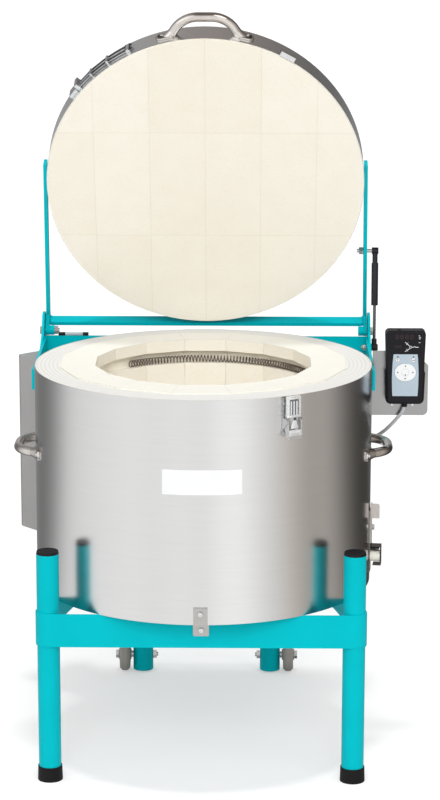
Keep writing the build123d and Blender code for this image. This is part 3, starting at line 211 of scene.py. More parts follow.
# %% A short way to add nodes
class Nodes:
    """The node tree of a material or of the world, with one way to add any node."""

    def __init__(self, owner):
        owner.use_nodes = True
        self.owner = owner
        self.tree = owner.node_tree

    def node(self, kind, sockets=None, **settings):
        """Add a node: its settings first, then the values or links of its sockets.

        A ramp's stops are its places, from 0 to 1, with their colours.
        """
        made = self.tree.nodes.new("ShaderNode" + kind)
        for name, value in settings.items():
            if name == "stops":
                for place, _ in value[1:-1]:
                    made.color_ramp.elements.new(place)
                for element, (_, colour) in zip(made.color_ramp.elements, value):
                    element.color = colour
            else:
                setattr(made, name, value)
        for name, value in (sockets or {}).items():
            self.plug(made.inputs[name], value)
        return made

    def plug(self, socket, value):
        """Link a socket to a level, a socket or a node's first output, or set its value."""
        if isinstance(value, bpy.types.Node):
            value = value.outputs[0]
        if isinstance(value, Level):
            value = value.socket
        if isinstance(value, bpy.types.NodeSocket):
            self.tree.links.new(value, socket)
        else:
            socket.default_value = value

    def level(self, kind, sockets=None, **settings):
        """Add a node and give its first output as a level."""
        return Level(self, self.node(kind, sockets, **settings).outputs[0])

    def mix(self, factor, low, high):
        """A colour between two, as a level decides. Three numbers are a screen colour."""
        low, high = (paint(*c) if isinstance(c, tuple) and len(c) == 3 else c for c in (low, high))
        return self.node("Mix", {0: factor, 6: low, 7: high}, data_type="RGBA").outputs[2]

    def axes(self, vector):
        """The three parts of a vector, as levels."""
        return [Level(self, part) for part in self.node("SeparateXYZ", {0: vector}).outputs]


def paint(red, green, blue):
    """A screen colour, 0 to 255, as the linear colour that shaders use."""
    linear = [
        c / 12.92 if c <= 0.04045 else ((c + 0.055) / 1.055) ** 2.4
        for c in (red / 255, green / 255, blue / 255)
    ]
    return (*linear, 1.0)


def grey(brightness):
    """A neutral linear colour of that brightness."""
    return (brightness, brightness, brightness, 1.0)


print("a mid grey is", paint(128, 128, 128))

# %% [markdown]
# ## The studio
# Steel shows its surroundings more than its own colour. One band of levels round the
# kiln stands for a studio's pale cards and darker gaps, and only glossy rays see it.
# The levels were set against the brightness along the casing in the photo. The camera sees plain white. High up
# the band fades to a dark ceiling, which draws the dark line on a polished tube.

# %% The levels that steel sees in each direction
# Each pair is an angle to the right of the camera's side, and how bright it is there.
surroundings = [
    (-180, 0.60), (-153, 0.27), (-135, 0.19), (-120, 0.27), (-110, 0.44), (-100, 0.75),
    (-90, 0.92), (-76, 1.0), (-45, 1.10), (-30, 1.05), (-13, 1.10), (3, 1.04),
    (10, 1.18), (20, 1.24), (28, 1.18), (37, 0.99), (45, 0.88), (54, 0.76),
    (64, 0.56), (74, 0.46), (84, 0.53), (92, 0.44), (100, 0.30), (109, 0.17),
    (120, 0.08), (130, 0.06), (146, 0.06), (160, 0.22), (180, 0.60),
]
warm_from, warm_to, warmest = 50, 150, 0.14


def card(angle, brightness):
    """The colour of one level: neutral, and a little warm far to the right."""
    warmth = warmest if warm_from <= angle <= warm_to else 0.0
    return (brightness, brightness * (1 - warmth / 2), brightness * (1 - warmth), 1.0)


def seen_by_steel(shader, x, y):
    """The band of surroundings, in the direction that x and y give."""
    angle = shader.level("Math", {0: x, 1: 0.0 - y}, operation="ARCTAN2")
    stops = [((turn + 180) / 360, card(turn, level)) for turn, level in surroundings]
    return shader.node("ValToRGB", {0: angle / math.tau + 0.5}, stops=stops)


print("steel sees", len(surroundings), "levels round the kiln")

# %% The world
world = bpy.data.worlds.new("studio")
bpy.context.scene.world = world
sky = Nodes(world)
sky.tree.nodes.clear()
ray = sky.node("LightPath").outputs
x, y, z = sky.axes(sky.node("TexCoord").outputs["Generated"])
ceiling_from, ceiling_to = 0.3, 0.8
left_from, left_to = -0.06, -0.46
ceiling_right, ceiling_left = (124, 114, 109), grey(0.42)
ceiling = sky.mix(x.between(left_from, left_to), ceiling_right, ceiling_left)
steel_sky = sky.mix(z.between(ceiling_from, ceiling_to), seen_by_steel(sky, x, y), ceiling)
white_sky = Level(sky, ray["Is Camera Ray"]) + ray["Is Transmission Ray"]
fill = 0.46
plain_sky = sky.mix(white_sky, grey(fill), grey(1.0))
sky_colour = sky.mix(ray["Is Glossy Ray"], plain_sky, steel_sky)
sky.node("OutputWorld", {"Surface": sky.node("Background", {"Color": sky_colour})})
print("the world fills shadows with", fill)

# %% [markdown]
# ## The floor
# The floor is white to the camera and still carries the kiln's soft shadow: for camera
# rays it adds a little light of its own to the light that falls on it. Glossy rays see
# the same band of surroundings in it as in the sky.

# %% Make the floor
floor_size, floor_own_light = 90.0, 0.43
bpy.ops.mesh.primitive_plane_add(size=floor_size, location=on_axis())
floor = bpy.context.object
floor.name = "studio_floor"
ground = Nodes(bpy.data.materials.new("studio_floor"))
ground.tree.nodes.clear()
ray = ground.node("LightPath").outputs
x, y, z = ground.axes(ground.node("TexCoord").outputs["Object"])
lit = ground.node("BsdfDiffuse", {"Color": grey(0.8)})
shaded = ground.node("BsdfDiffuse", {"Color": grey(0.65)})
own_light = ground.node("Emission", {"Color": grey(1.0), "Strength": floor_own_light})
to_camera = ground.node("AddShader", {0: shaded, 1: own_light})
to_steel = ground.node("Emission", {"Color": seen_by_steel(ground, x, y)})
seen = ground.node("MixShader", {0: ray["Is Camera Ray"], 1: lit, 2: to_camera})
whole = ground.node("MixShader", {0: ray["Is Glossy Ray"], 1: seen, 2: to_steel})
ground.node("OutputMaterial", {"Surface": whole})
floor.data.materials.append(ground.owner)
print("floor", floor_size, "m across")

# %% [markdown]
# ## The lamps
# One lamp hangs straight above and casts the shadow under the casing. Three softer ones
# come from the right, the left and the front. Sun lamps light the whole floor evenly.
# The two that would show as spots in the steel are hidden from glossy rays.

# %% Hang the lamps
def lamp(name, azimuth, height, strength, spread, shiny=True):
    """A soft distant lamp, at an angle to the right of the front and above the floor."""
    data = bpy.data.lights.new(name, "SUN")
    data.energy = strength
    data.angle = math.radians(spread)
    made = new_object(name, data)
    rise = math.radians(height)
    away = outward(azimuth) * math.cos(rise) + Vector((0, 0, math.sin(rise)))
    made.rotation_euler = away.to_track_quat("Z", "Y").to_euler()
    made.visible_glossy = shiny


lamp("overhead_lamp", 0, 88, 0.9, 6, shiny=False)
lamp("main_lamp", 32, 45, 0.4, 35)
lamp("left_lamp", -40, 30, 0.3, 50)
lamp("front_lamp", 0, 30, 1.1, 30, shiny=False)
bpy.context.scene.view_settings.view_transform = "Standard"
print("four lamps hang")

# %% [markdown]
# ## Patterns for the finishes
# Noise on the piece's own coordinates gives clouds and specks at a real size, in
# millimetres, and stretching the coordinates turns the specks into brushing lines.

# %% Clouds, specks and brushing lines
def turned_place(finish, turn):
    """The piece's own coordinates, turned about X for the pieces of the open lid."""
    place = finish.node("TexCoord").outputs["Object"]
    if not turn:
        return place
    return finish.node("Mapping", {"Vector": place, "Rotation": (math.radians(turn), 0, 0)})


def clouds(finish, size, detail=2.0, stretch=(1, 1, 1), turn=0.0):
    """Soft noise with blotches of about that size, stretched along the wanted way."""
    scaled = finish.node("Mapping", {"Vector": turned_place(finish, turn), "Scale": stretch})
    noise = {"Vector": scaled, "Scale": 1 / (size * MM), "Detail": detail}
    return finish.level("TexNoise", noise)


def bump(finish, height, strength, depth):
    """A Bump node from a height level, with its depth in millimetres."""
    return finish.node("Bump", {"Height": height, "Strength": strength, "Distance": depth * MM})


def dress(finish, **sockets):
    """Set or link sockets of a finish's Principled shader, and give its material."""
    for name, value in sockets.items():
        finish.plug(finish.shader.inputs[name.replace("_", " ")], value)
    return finish.owner


def new_finish(name, **plain):
    """A finish whose Principled shader has these plain values."""
    finish = Nodes(bpy.data.materials.new(name))
    finish.shader = finish.tree.nodes["Principled BSDF"]
    dress(finish, **plain)
    return finish


def mottled(name, low, high, broad, rough, fine=None, relief=None, **plain):
    """A material with blotches between two shades.

    broad and fine are blotches' size and detail, rough is the roughness and what the
    broad ones add to it, and relief is the strength and depth of a bump.
    """
    finish = new_finish(name, **plain)
    blotches = clouds(finish, *broad)
    if relief:
        grain = clouds(finish, *fine) if fine else blotches
        dress(finish, Normal=bump(finish, grain, *relief))
    shade = finish.mix(blotches, low, high)
    return dress(finish, Base_Color=shade, Roughness=rough[0] + blotches * rough[1])


print("patterns are ready")

# %% [markdown]
# ## Brushed stainless steel
# The casing is a thin sheet of stainless steel brushed along its length, so its fine
# lines run level round the kiln and spread reflections up and down. Stretched noise
# makes the lines, in the roughness and in a shallow bump.

# %% Brushed steel
def brushed_steel(name, turn=0.0, shade=0.74):
    """Sheet steel of that brightness with fine level lines, turned for the open lid."""
    steel = new_finish(name, Metallic=1.0, Anisotropic=0.45)
    lines = clouds(steel, 1.0, 3.0, (0.02, 0.02, 1.0), turn)
    coarse = clouds(steel, 6.0, 2.0, (0.04, 0.04, 1.0), turn)
    haze = clouds(steel, 160.0, 2.0, (1, 1, 0.6), turn)
    pale = (shade, shade * 0.995, shade * 0.985, 1)
    return dress(
        steel,
        Base_Color=steel.mix(lines * 0.6 + coarse * 0.4, grey(shade * 0.9), pale),
        Roughness=0.17 + lines * 0.06 + haze * 0.05,
        Normal=bump(steel, lines + coarse * 0.5, 0.12, 0.05),
    )


casing_steel = brushed_steel("brushed_steel")
# The controller's plate is the same brushed steel made darker: painted shade.
plate_steel_painted_shade = brushed_steel("sheet_steel_painted_shade", shade=0.36)
# The lid's band and cover are the same brushed steel, turned with the lid and made brighter: painted light.
lid_steel_painted_light = brushed_steel("brushed_steel_lid_painted_light", lid_travel, 0.94)
print("made", casing_steel.name, plate_steel_painted_shade.name, "and", lid_steel_painted_light.name)

# %% [markdown]
# ## Plated and polished metal
# Latch, clamp, screws and studs are zinc plated: bright and slightly mottled. The
# handles are polished tube, which reflects sharply and has faint wiping marks.

# %% Zinc plating, chrome and polished tube
def plated(name, low, high, roughness=0.2, metallic=1.0):
    """Zinc plating or chrome between two shades, with a fine crystal pattern."""
    crystals, relief = (2.0, 1.0), (0.12, 0.1)
    rough = (roughness, 0.16)
    return mottled(name, low, high, (9.0, 3.0), rough, crystals, relief, Metallic=metallic)


zinc = plated("zinc_plating", (206, 207, 206), (234, 235, 236))
dull_zinc = plated("dull_zinc", (176, 175, 172), (202, 201, 198), 0.42)
satin_zinc = plated("satin_zinc", (226, 227, 227), (244, 245, 245), 0.5)
dark_chrome = plated("dark_chrome", (74, 68, 64), (104, 97, 92), 0.12)
bright_chrome = plated("bright_chrome", (226, 229, 230), (248, 249, 250), 0.2, 0.55)
slot_shade = plated("slot_shade", (120, 124, 126), (150, 154, 156), 0.3)
wiping, rough = (14.0, 3.0, (1, 1, 0.4)), (0.05, 0.08)
polished = mottled("polished_tube", (200, 193, 187), (222, 217, 212), wiping, rough, Metallic=1.0)
print("made", zinc.name, "and", polished.name)

# %% [markdown]
# ## Paint and powder coat
# The stand and the lid's frame have a teal powder coat, the switch box a grey one and
# the gas spring's tube a black one. Powder melts into a skin with a fine orange peel,
# so a very shallow bump breaks its gloss.

# %% Powder coat
def powder_coat(name, low, high, roughness, gloss=0.5):
    """A powder coat between two shades, with a fine orange peel."""
    coat = new_finish(name, Specular_IOR_Level=gloss)
    skin = clouds(coat, 2.2, 1.0)
    return dress(
        coat,
        Base_Color=coat.mix(clouds(coat, 90.0, 2.0), low, high),
        Roughness=roughness + skin * 0.08,
        Normal=bump(coat, skin, 0.35, 0.12),
    )


teal_coat = powder_coat("teal_powder_coat", (0, 184, 194), (0, 196, 207), 0.34, 0.06)
grey_coat = powder_coat("grey_powder_coat", (158, 156, 156), (172, 170, 169), 0.42)
black_coat = powder_coat("black_paint", (16, 15, 22), (28, 27, 36), 0.22, 0.4)
print("made", teal_coat.name, grey_coat.name, black_coat.name)

# %% [markdown]
# ## Insulating firebrick and fibre
# Insulating brick is a foam of fired clay: cream coloured, dull and full of fine pores.
# A brick's shade comes from its number, through a white noise. The fibre round the
# bricks is whiter, with faint layers.

# %% Firebrick of the lid, the walls and the floor
brick_width, brick_length = 125.0, 260.0


def closed_place(finish, turn):
    """Coordinates from the kiln's axis, with the open lid turned back when asked."""
    place = finish.node("TexCoord").outputs["Object"]
    shift = hinge - turned(turn, "X") @ hinge - on_axis()
    back = {"Vector": place, "Rotation": (math.radians(turn), 0, 0), "Location": shift}
    return finish.axes(finish.node("Mapping", back))


def firebrick(name, turn=0.0, columns=True, low=(246, 238, 221), high=(253, 249, 238)):
    """Cream brick with pores: a slab with columns of bricks, or a wall whose top is painted a flat, greyer white
    than its inner faces, as painted light.
    """
    brick = new_finish(name, Roughness=0.9, Specular_IOR_Level=0.25)
    tint = clouds(brick, 60.0, 3.0, turn=turn)
    x, y, z = closed_place(brick, turn)
    if columns:
        column = (x / (brick_width * MM)).maths("FLOOR")
        row = (y / (brick_length * MM) + 0.5).maths("FLOOR")
        number = column * 3.7 + row * 1.9
        own = brick.level("TexWhiteNoise", {"W": number}, noise_dimensions="1D")
        tint = tint * 0.6 + own * 0.4
    pores = clouds(brick, 2.6, 2.0, turn=turn)
    body = brick.mix(tint, low, high)
    speckled = brick.mix((pores < 0.36) * 0.3, body, (228, 213, 186))
    if not columns:
        # Painted light: the wall's top, in direct light, is a flat greyer white, and the faces below the rim keep
        # warmer colours that stand for light bounced inside the chamber.
        speckled = brick.mix(z > rim_height, speckled, (241, 239, 231))
    return dress(brick, Base_Color=speckled, Normal=bump(brick, pores, 0.35, 0.5))


rim_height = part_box("wall_bricks_top")[1].z - 1 * MM
lid_brick = firebrick("firebrick_lid", lid_travel)
floor_brick = firebrick("firebrick_floor")
# The wall's colours are a bright warm cream, brighter than the lid's brick: painted light bounced inside the
# chamber.
wall_brick = firebrick("firebrick_wall_painted_light", 0.0, False, (253, 246, 230), (255, 252, 243))
cement_look = firebrick("joint_cement", lid_travel, True, (222, 212, 190), (236, 227, 208))
print("made", lid_brick.name, wall_brick.name, floor_brick.name)

# %% Fibre board and the vent's ceramic
layer = 9.0
fibre_look = new_finish("fibre_lining", Roughness=0.95)
fluff = clouds(fibre_look, 3.5, 4.0)
x, y, z = closed_place(fibre_look, 0)
turns = (x * x + y * y).maths("SQRT") * (math.tau / (layer * MM))
layers = (turns + fluff * 2.5).maths("SINE") * 0.5 + 0.5
whiter = fibre_look.mix(fluff * 0.5 + layers * 0.5, (218, 217, 213), (242, 241, 238))
fibre = dress(fibre_look, Base_Color=whiter, Normal=bump(fibre_look, fluff, 0.4, 0.6))
bisque, rough, relief = (5.0, 3.0), (0.45, 0), (0.2, 0.2)
ceramic = mottled("vent_ceramic", (238, 232, 218), (248, 244, 234), bisque, rough, relief=relief)
print("made", fibre.name, "and", ceramic.name)

# %% [markdown]
# ## Heating wire, plastics, rubber and glass
# Fired wire has a dull brown-grey oxide skin with brighter spots. The plastics differ
# in how fine their texture is. The controller's window is dark glossy acrylic.

# %% Heating wire and the display's window
oxide, rough = (3.0, 3.0), (0.4, 0.25)
wire = mottled("heating_wire", (84, 70, 62), (154, 141, 131), oxide, rough, Metallic=0.75)
tint, rough = (30.0, 1.0), (0.12, 0)
window = mottled("dark_window", (10, 10, 16), (22, 20, 28), tint, rough, Specular_IOR_Level=0.2)
print("made", wire.name, "and", window.name)


# %% Moulded plastic and rubber
def moulded(name, low, high, roughness, texture=0.6, size=0.8, gloss=0.5):
    """A plastic or rubber with a fine moulded texture."""
    wear, skin, relief = (40.0, 3.0), (size, 1.0), (texture * 0.4, 0.1)
    rough = (roughness, 0.12)
    return mottled(name, low, high, wear, rough, skin, relief, Specular_IOR_Level=gloss)


black_plastic = moulded("black_plastic", (18, 18, 23), (30, 29, 34), 0.38, gloss=0.2)
grey_plastic = moulded("grey_cable_skin", (196, 198, 201), (210, 212, 214), 0.45, 0.2)
white_plastic = moulded("white_key_skin", (238, 239, 240), (250, 250, 250), 0.3, 0.1)
red_plastic = moulded("red_button", (150, 24, 20), (178, 34, 28), 0.35, 0.2)
rubber = moulded("black_rubber", (14, 14, 15), (28, 27, 27), 0.6, 0.9, 1.6, gloss=0.2)
wheel_grey = moulded("wheel_grey", (158, 152, 146), (178, 171, 164), 0.5, 0.5, 1.2)
panel_blue = moulded("keypad_film", (176, 193, 205), (192, 206, 216), 0.35, 0.1)
print_white = moulded("white_print", (222, 226, 230), (236, 239, 242), 0.4, 0.1)
print_dark = moulded("dark_print", (30, 32, 38), (46, 48, 54), 0.4, 0.1)
dim_red = moulded("unlit_digit", (58, 34, 38), (72, 42, 46), 0.3, 0.1)
print("made", black_plastic.name, grey_plastic.name, rubber.name)

# %% [markdown]
# ## Parts with two finishes
# Some parts are one piece in the engineering model and have two looks. In reality the gas spring's rod has a black
# fitting and the lid switch sits between black caps. The vent's cap and strip are darker below a height, and the
# tensioner has bright lugs between rods whose outer half is painted dark, as painted shade. A mask made from the
# place on the part chooses the look.

# %% The gas spring's rod, the lid switch and the vent
def two_looks(name, mask, first, second, roughness, metallic=(0.0, 0.0)):
    """A finish that goes from the first look to the second where the mask is 1."""
    both = new_finish(name, Specular_IOR_Level=0.3)
    share = mask(*[part / MM for part in closed_place(both, 0)])
    colour = both.mix(share, first, second)
    return dress(
        both,
        Base_Color=both.mix(clouds(both, 8.0, 3.0) * 0.25, colour, (60, 58, 56)),
        Roughness=roughness[0] + share * (roughness[1] - roughness[0]),
        Metallic=metallic[0] + share * (metallic[1] - metallic[0]),
    )


def above(limit):
    """The mask of everything above a height."""
    return lambda x, y, z: z > limit


def on_switch(x, y, z):
    """The mask of the lid switch's light body."""
    return (x > switch_left) * (x < switch_right)


rod_fitting_top, cap_top = 850.0, 470.0
switch_left, switch_right = -329.0, -288.0
rod_colours = (24, 22, 22), (120, 118, 117)
rod_look = two_looks("spring_rod", above(rod_fitting_top), *rod_colours, (0.4, 0.15), (0, 1))
switch_look = two_looks("lid_switch", on_switch, (20, 20, 22), (206, 214, 219), (0.4, 0.35))
cap_colours = (92, 82, 76), (232, 224, 218)
cap_look = two_looks("vent_cap", above(cap_top), *cap_colours, (0.45, 0.6), (0.8, 0.6))
strip_colours = (150, 142, 136), (196, 188, 182)
strip_look = two_looks("vent_strip", above(cap_top), *strip_colours, (0.5, 0.5), (0.9, 0.9))
print("made", rod_look.name, switch_look.name, cap_look.name)

# %% The tensioner's rods and lugs
# A span is an angle to the right of the lid's front and half the width of the lug.
lug_spans = ((-28.0, 0.6), (-36.5, 0.45), (-44.0, 0.4), (-50.5, 0.8), (-53.5, 2.3))
thread_from, thread_turn, band_reach = -44.4, 0.34, 363.2
tensioner = new_finish("tensioner_zinc", Metallic=1.0)
x, y, z = closed_place(tensioner, lid_travel)
bearing = x.maths("ARCTAN2", x, 0.0 - y) * (180 / math.pi)
on_lug = 0.0
for lug_middle, lug_half in lug_spans:
    on_lug = (bearing > lug_middle - lug_half) * (bearing < lug_middle + lug_half) + on_lug
crests = (bearing * (math.tau / thread_turn)).maths("SINE") * 0.5 + 0.5
threaded = crests * (bearing < thread_from)
# Each rod is painted dark on its outer half, away from the band, as painted shade with its threads in it; the half
# toward the band stays pale.
rod_shade_and_threads = tensioner.mix(threaded * 0.7, (66, 66, 67), (150, 152, 153))
rod_painted_shade_side = (x * x + y * y).maths("SQRT") > band_reach * MM
rod_colour = tensioner.mix(rod_painted_shade_side, (200, 201, 202), rod_shade_and_threads)
lug_colour = tensioner.mix(clouds(tensioner, 7.0), (214, 217, 218), (236, 239, 240))
tensioner_look = dress(
    tensioner,
    Base_Color=tensioner.mix(on_lug, rod_colour, lug_colour),
    Roughness=0.3 + on_lug * 0.08,
)
print("the tensioner has", len(lug_spans), "bright lugs")

# %% [markdown]
# ## Give every part its finish
# Most finishes follow from the material slot that the model's record names. The parts
# in the second table have a turned pattern, two looks or another shade.

# %% Finish the engineering parts
finish_of_slot = {
    "stainless": casing_steel,
    "zinc": zinc,
    "polished_steel": polished,
    "teal_paint": teal_coat,
    "black_paint": black_coat,
    "grey_paint": grey_coat,
    "fire_brick": wall_brick,
    "fibre_board": fibre,
    "vent_ceramic": ceramic,
    "heating_wire": wire,
    "black_plastic": black_plastic,
    "grey_plastic": grey_plastic,
    "white_plastic": white_plastic,
    "red_plastic": red_plastic,
    "window_glass": window,
    "black_rubber": rubber,
}
finish_of_part = {
    "lid_bricks": lid_brick,
    "floor_bricks": floor_brick,
    "lid_band": lid_steel_painted_light,
    "lid_cover": lid_steel_painted_light,
    "wheel_left": wheel_grey,
    "wheel_right": wheel_grey,
    "controller_plate": plate_steel_painted_shade,
    "clamp_bracket": dull_zinc,
    "power_button": black_plastic,
    "gas_spring_rod": rod_look,
    "lid_switch": switch_look,
    "vent_cap": cap_look,
    "vent_strip": strip_look,
    "band_tensioner": tensioner_look,
    "latch_lever": satin_zinc,
}
slot_of = {part["node"]: part["material_slot"] for part in frame["record"]["subparts"]}
for name, piece in nodes.items():
    piece.data.materials.clear()
    piece.data.materials.append(finish_of_part.get(name, finish_of_slot[slot_of[name]]))
cable.data.materials.append(grey_plastic)
print("finished", len(nodes), "parts in", len(finish_of_slot), "slots")

# %% [markdown]
# ## Tools for small pieces
# What the engineering parts leave out is small: wound wire, screw heads, ribs and
# printed marks. Each is shaped at the origin, from a primitive or, for a flat sheet,
# from an outline. A matrix then puts it in its place, which goes into the mesh.

# %% Start, shape, place and finish a piece
def start(*pieces):
    """Select only these pieces, the first of them active, for the operators to come."""
    bpy.ops.object.select_all(action="DESELECT")
    for piece in pieces:
        piece.select_set(True)
    if pieces:
        bpy.context.view_layer.objects.active = pieces[0]


def settled():
    """The active piece, with its place in its mesh."""
    bpy.ops.object.transform_apply()
    return bpy.context.object


def enter_edit(select="SELECT"):
    """Begin to edit the active piece, with its whole mesh selected or none of it."""
    bpy.ops.object.mode_set(mode="EDIT")
    bpy.ops.mesh.select_all(action=select)


def leave_edit():
    """End the editing."""
    bpy.ops.object.mode_set(mode="OBJECT")


def select_faces(piece, test):
    """In edit mode, select only the faces that pass a test."""
    bpy.ops.mesh.select_mode(type="FACE")
    bpy.ops.mesh.select_all(action="DESELECT")
    mesh = bmesh.from_edit_mesh(piece.data)
    for face in mesh.faces:
        face.select_set(test(face))
    bmesh.update_edit_mesh(piece.data)


def sink(rim, depth):
    """Inset the selected faces by a rim and push them in."""
    bpy.ops.mesh.inset(thickness=rim * MM)
    bpy.ops.mesh.extrude_region_move(TRANSFORM_OT_translate={"value": (0, 0, -depth * MM)})


def apply_modifier(piece, kind, **settings):
    """Add a modifier with these settings and apply it."""
    modifier = piece.modifiers.new(kind.lower(), kind)
    for name, value in settings.items():
        setattr(modifier, name, value)
    start(piece)
    bpy.ops.object.modifier_apply(modifier=modifier.name)


def looking(place, out, up=(0, 0, 1)):
    """The matrix of a place whose Z looks out and whose Y looks up."""
    away = Vector(out).normalized()
    right = Vector(up).cross(away).normalized()
    turn = Matrix((right, away.cross(right), away)).transposed().to_4x4()
    return Matrix.Translation(place) @ turn


def on_wall(azimuth, distance, height):
    """The matrix of a spot on a round wall, looking away from the axis."""
    return looking(spot(azimuth, distance, height), outward(azimuth))


def put(piece, name, at, body, slot, finish=None, smooth=35):
    """Place a piece by a matrix, give it its finish and let it ride on its body."""
    piece.name = name
    piece.matrix_world = at
    start(piece)
    settled()
    bpy.ops.object.shade_smooth_by_angle(angle=math.radians(smooth))
    piece.data.materials.clear()
    piece.data.materials.append(finish or finish_of_slot[slot])
    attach(piece, body)
    return piece


def copied(piece):
    """A copy with its own mesh."""
    return new_object(piece.name, piece.data.copy())


print("tools are ready")

# %% [markdown]
# ## The heating coils
# Each element is a wire coil laid in a groove of the brick. The Screw modifier winds a
# small ring of six-sided wire along a line, and Simple Deform bends the straight coil
# round the chamber.

# %% Wind one coil and bend it round the chamber
coil_radius, coil_wire, coil_turns = 8.0, 2.3, 184
coil_ring, coil_sweep, coil_middle = 246.7, math.radians(322), 63.0
wire_sides, wire_steps = 6, 12
coil_length = coil_ring * coil_sweep
coil_pitch = (coil_length - coil_wire) / coil_turns
start()
bpy.ops.mesh.primitive_circle_add(
    vertices=wire_sides,
    radius=coil_wire / 2 * MM,
    location=(-coil_length / 2 * MM, (coil_radius - coil_wire / 2) * MM, 0),
)
coil = settled()
apply_modifier(
    coil,
    "SCREW",
    axis="X",
    screw_offset=coil_pitch * MM,
    iterations=coil_turns,
    steps=wire_steps,
    render_steps=wire_steps,
)
enter_edit()
bpy.ops.mesh.fill_holes(sides=wire_sides)
bpy.ops.mesh.select_all(action="SELECT")
bpy.ops.mesh.normals_make_consistent()
leave_edit()
apply_modifier(coil, "SIMPLE_DEFORM", deform_method="BEND", deform_axis="Z", angle=coil_sweep)
coil_turned = turned(coil_middle, "Z")
to_ring = Matrix.Translation((0, -coil_ring * MM, 0))
for row in ("lower", "middle", "top"):
    low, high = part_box("heating_element_" + row)
    at = Matrix.Translation(on_axis((low.z + high.z) / 2 / MM)) @ coil_turned @ to_ring
    wound = put(copied(coil), "coil_" + row, at, "kiln", "heating_wire", smooth=60)
    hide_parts("heating_element_" + row)
bpy.data.objects.remove(coil)
across = [vertex.co.x / MM for vertex in wound.data.vertices]
print("each coil is", round(max(across) - min(across), 1), "mm across")

# %% [markdown]
# ## Screws
# One pan head is modelled: a short cylinder whose rim is rounded and whose top is inset
# and sunk for the driver. Copies then go wherever the real kiln has them.

# %% One screw head
head_sides = 24
front = (0, -1, 0)


def screw_head(radius, height, sunk):
    """A head on the origin, with its drive sunk by a share of its height."""
    start()
    bpy.ops.mesh.primitive_cylinder_add(
        vertices=head_sides, radius=radius * MM, depth=height * MM, location=(0, 0, height / 2 * MM)
    )
    head = settled()
    enter_edit()
    select_faces(head, lambda face: face.normal.z > 0.9)
    bpy.ops.mesh.bevel(offset=height * 0.4 * MM, segments=3)
    select_faces(head, lambda face: face.normal.z > 0.999)
    sink(radius * 0.26, sunk * height)
    leave_edit()
    return head


def screws(name, places, body, radius, height, sunk=0.5, finish=None):
    """The same head at each place."""
    head = screw_head(radius, height, sunk)
    for number, at in enumerate(places, 1):
        put(copied(head), f"{name}_{number}", at, body, "zinc", finish)
    bpy.data.objects.remove(head)
    print(name, "has", len(places))


# %% Screws of the handles
flange_along, flange_screw_out, flange_top = 86.0, 8.0, 4.0
side_handle_low, side_handle_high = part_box("side_handle_left")
side_handle_height = (side_handle_low.z + side_handle_high.z) / 2 / MM
lid_radius, lid_middle = 359.0, 901.3


def flange_screws(middle, radius, height):
    """The two places of a handle's screws, on its flanges to the left and right."""
    lean = math.degrees(math.asin(flange_along / radius))
    for side in (-1, 1):
        azimuth = middle + side * lean
        along = outward(azimuth + 90) * (side * flange_screw_out * MM)
        yield Matrix.Translation(along) @ on_wall(azimuth, radius + flange_top, height)


cup_height = 1.2
lid_cups = [opened @ at for at in flange_screws(0, lid_radius, lid_middle)]
lid_screws = [at @ Matrix.Translation((0, 0, cup_height * 0.8 * MM)) for at in lid_cups]
screws("lid_handle_cup", lid_cups, "lid", 10.0, cup_height, 0.3, dark_chrome)
screws("lid_handle_screw", lid_screws, "lid", 4.5, 2.6)
for side, name in ((-90, "left"), (90, "right")):
    places = list(flange_screws(side, casing_radius, side_handle_height))
    screws(f"{name}_handle_screw", places, "kiln", 5.0, 3.0)

# %% Screws of the clamp, the controller's plate and the vent
clamp_low, clamp_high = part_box("clamp_bracket")
clamp_screw_height, clamp_foot_height, clamp_foot_sheet = 404.0, 347.0, 2.0
clamp_foot_y = clamp_high.y - clamp_foot_sheet * MM
clamp_upper = looking((axis.x, clamp_low.y, clamp_screw_height * MM), front)
clamp_lower = looking((axis.x, clamp_foot_y, clamp_foot_height * MM), front)
screws("clamp_screw", [clamp_upper, clamp_lower], "kiln", 5.5, 3.4)

plate_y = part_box("controller_plate")[0].y
plate_screw_height, plate_screw_columns = 757.0, (389.0, 434.0)
plate_screws = [
    looking((x * MM, plate_y, plate_screw_height * MM), front) for x in plate_screw_columns
]
screws("plate_screw", plate_screws, "kiln", 3.2, 2.0)

vent_azimuth, strip_front = 83, 371.5
strip_screw_heights = (533.0, 412.0)
strip_screws = [on_wall(vent_azimuth, strip_front, height) for height in strip_screw_heights]
screws("vent_screw", strip_screws, "kiln", 4.0, 2.2)

# %% [markdown]
# ## The bare name plate
# The casing's front carries a plain white plate: a flat strip with its corners cut
# round, bent like the coils, and given its thickness last, so that its faces stay
# parallel.

# %% Bend the plate round the casing
sign_width, sign_height, sign_sheet = 167.0, 53.5, 0.8
sign_azimuth, sign_middle, sign_gap = 0.55, 688.8, 0.2
start()
bpy.ops.mesh.primitive_grid_add(x_subdivisions=24, y_subdivisions=1, size=1)
sign = bpy.context.object
sign.scale = (sign_width * MM, sign_height * MM, 1)
sign.rotation_euler = (math.pi / 2, 0, 0)
sign = settled()
enter_edit("DESELECT")
mesh = bmesh.from_edit_mesh(sign.data)
for corner in mesh.verts:
    corner.select_set(abs(corner.co.x) > sign_width * 0.499 * MM)
bpy.ops.mesh.bevel(offset=2.0 * MM, segments=4, affect="VERTICES")
leave_edit()
bent = sign_width / (casing_radius + sign_sheet)
apply_modifier(sign, "SIMPLE_DEFORM", deform_method="BEND", deform_axis="Z", angle=bent)
apply_modifier(sign, "SOLIDIFY", thickness=sign_sheet * MM, offset=1)
plate_reach = (casing_radius + sign_gap) * MM
plate_step = Matrix.Translation((0, -plate_reach, sign_middle * MM))
plate_at = Matrix.Translation(on_axis()) @ turned(sign_azimuth, "Z") @ plate_step
put(sign, "name_plate", plate_at, "kiln", "white_plastic")
print("the bare plate covers", round(math.degrees(bent), 1), "degrees of the casing")

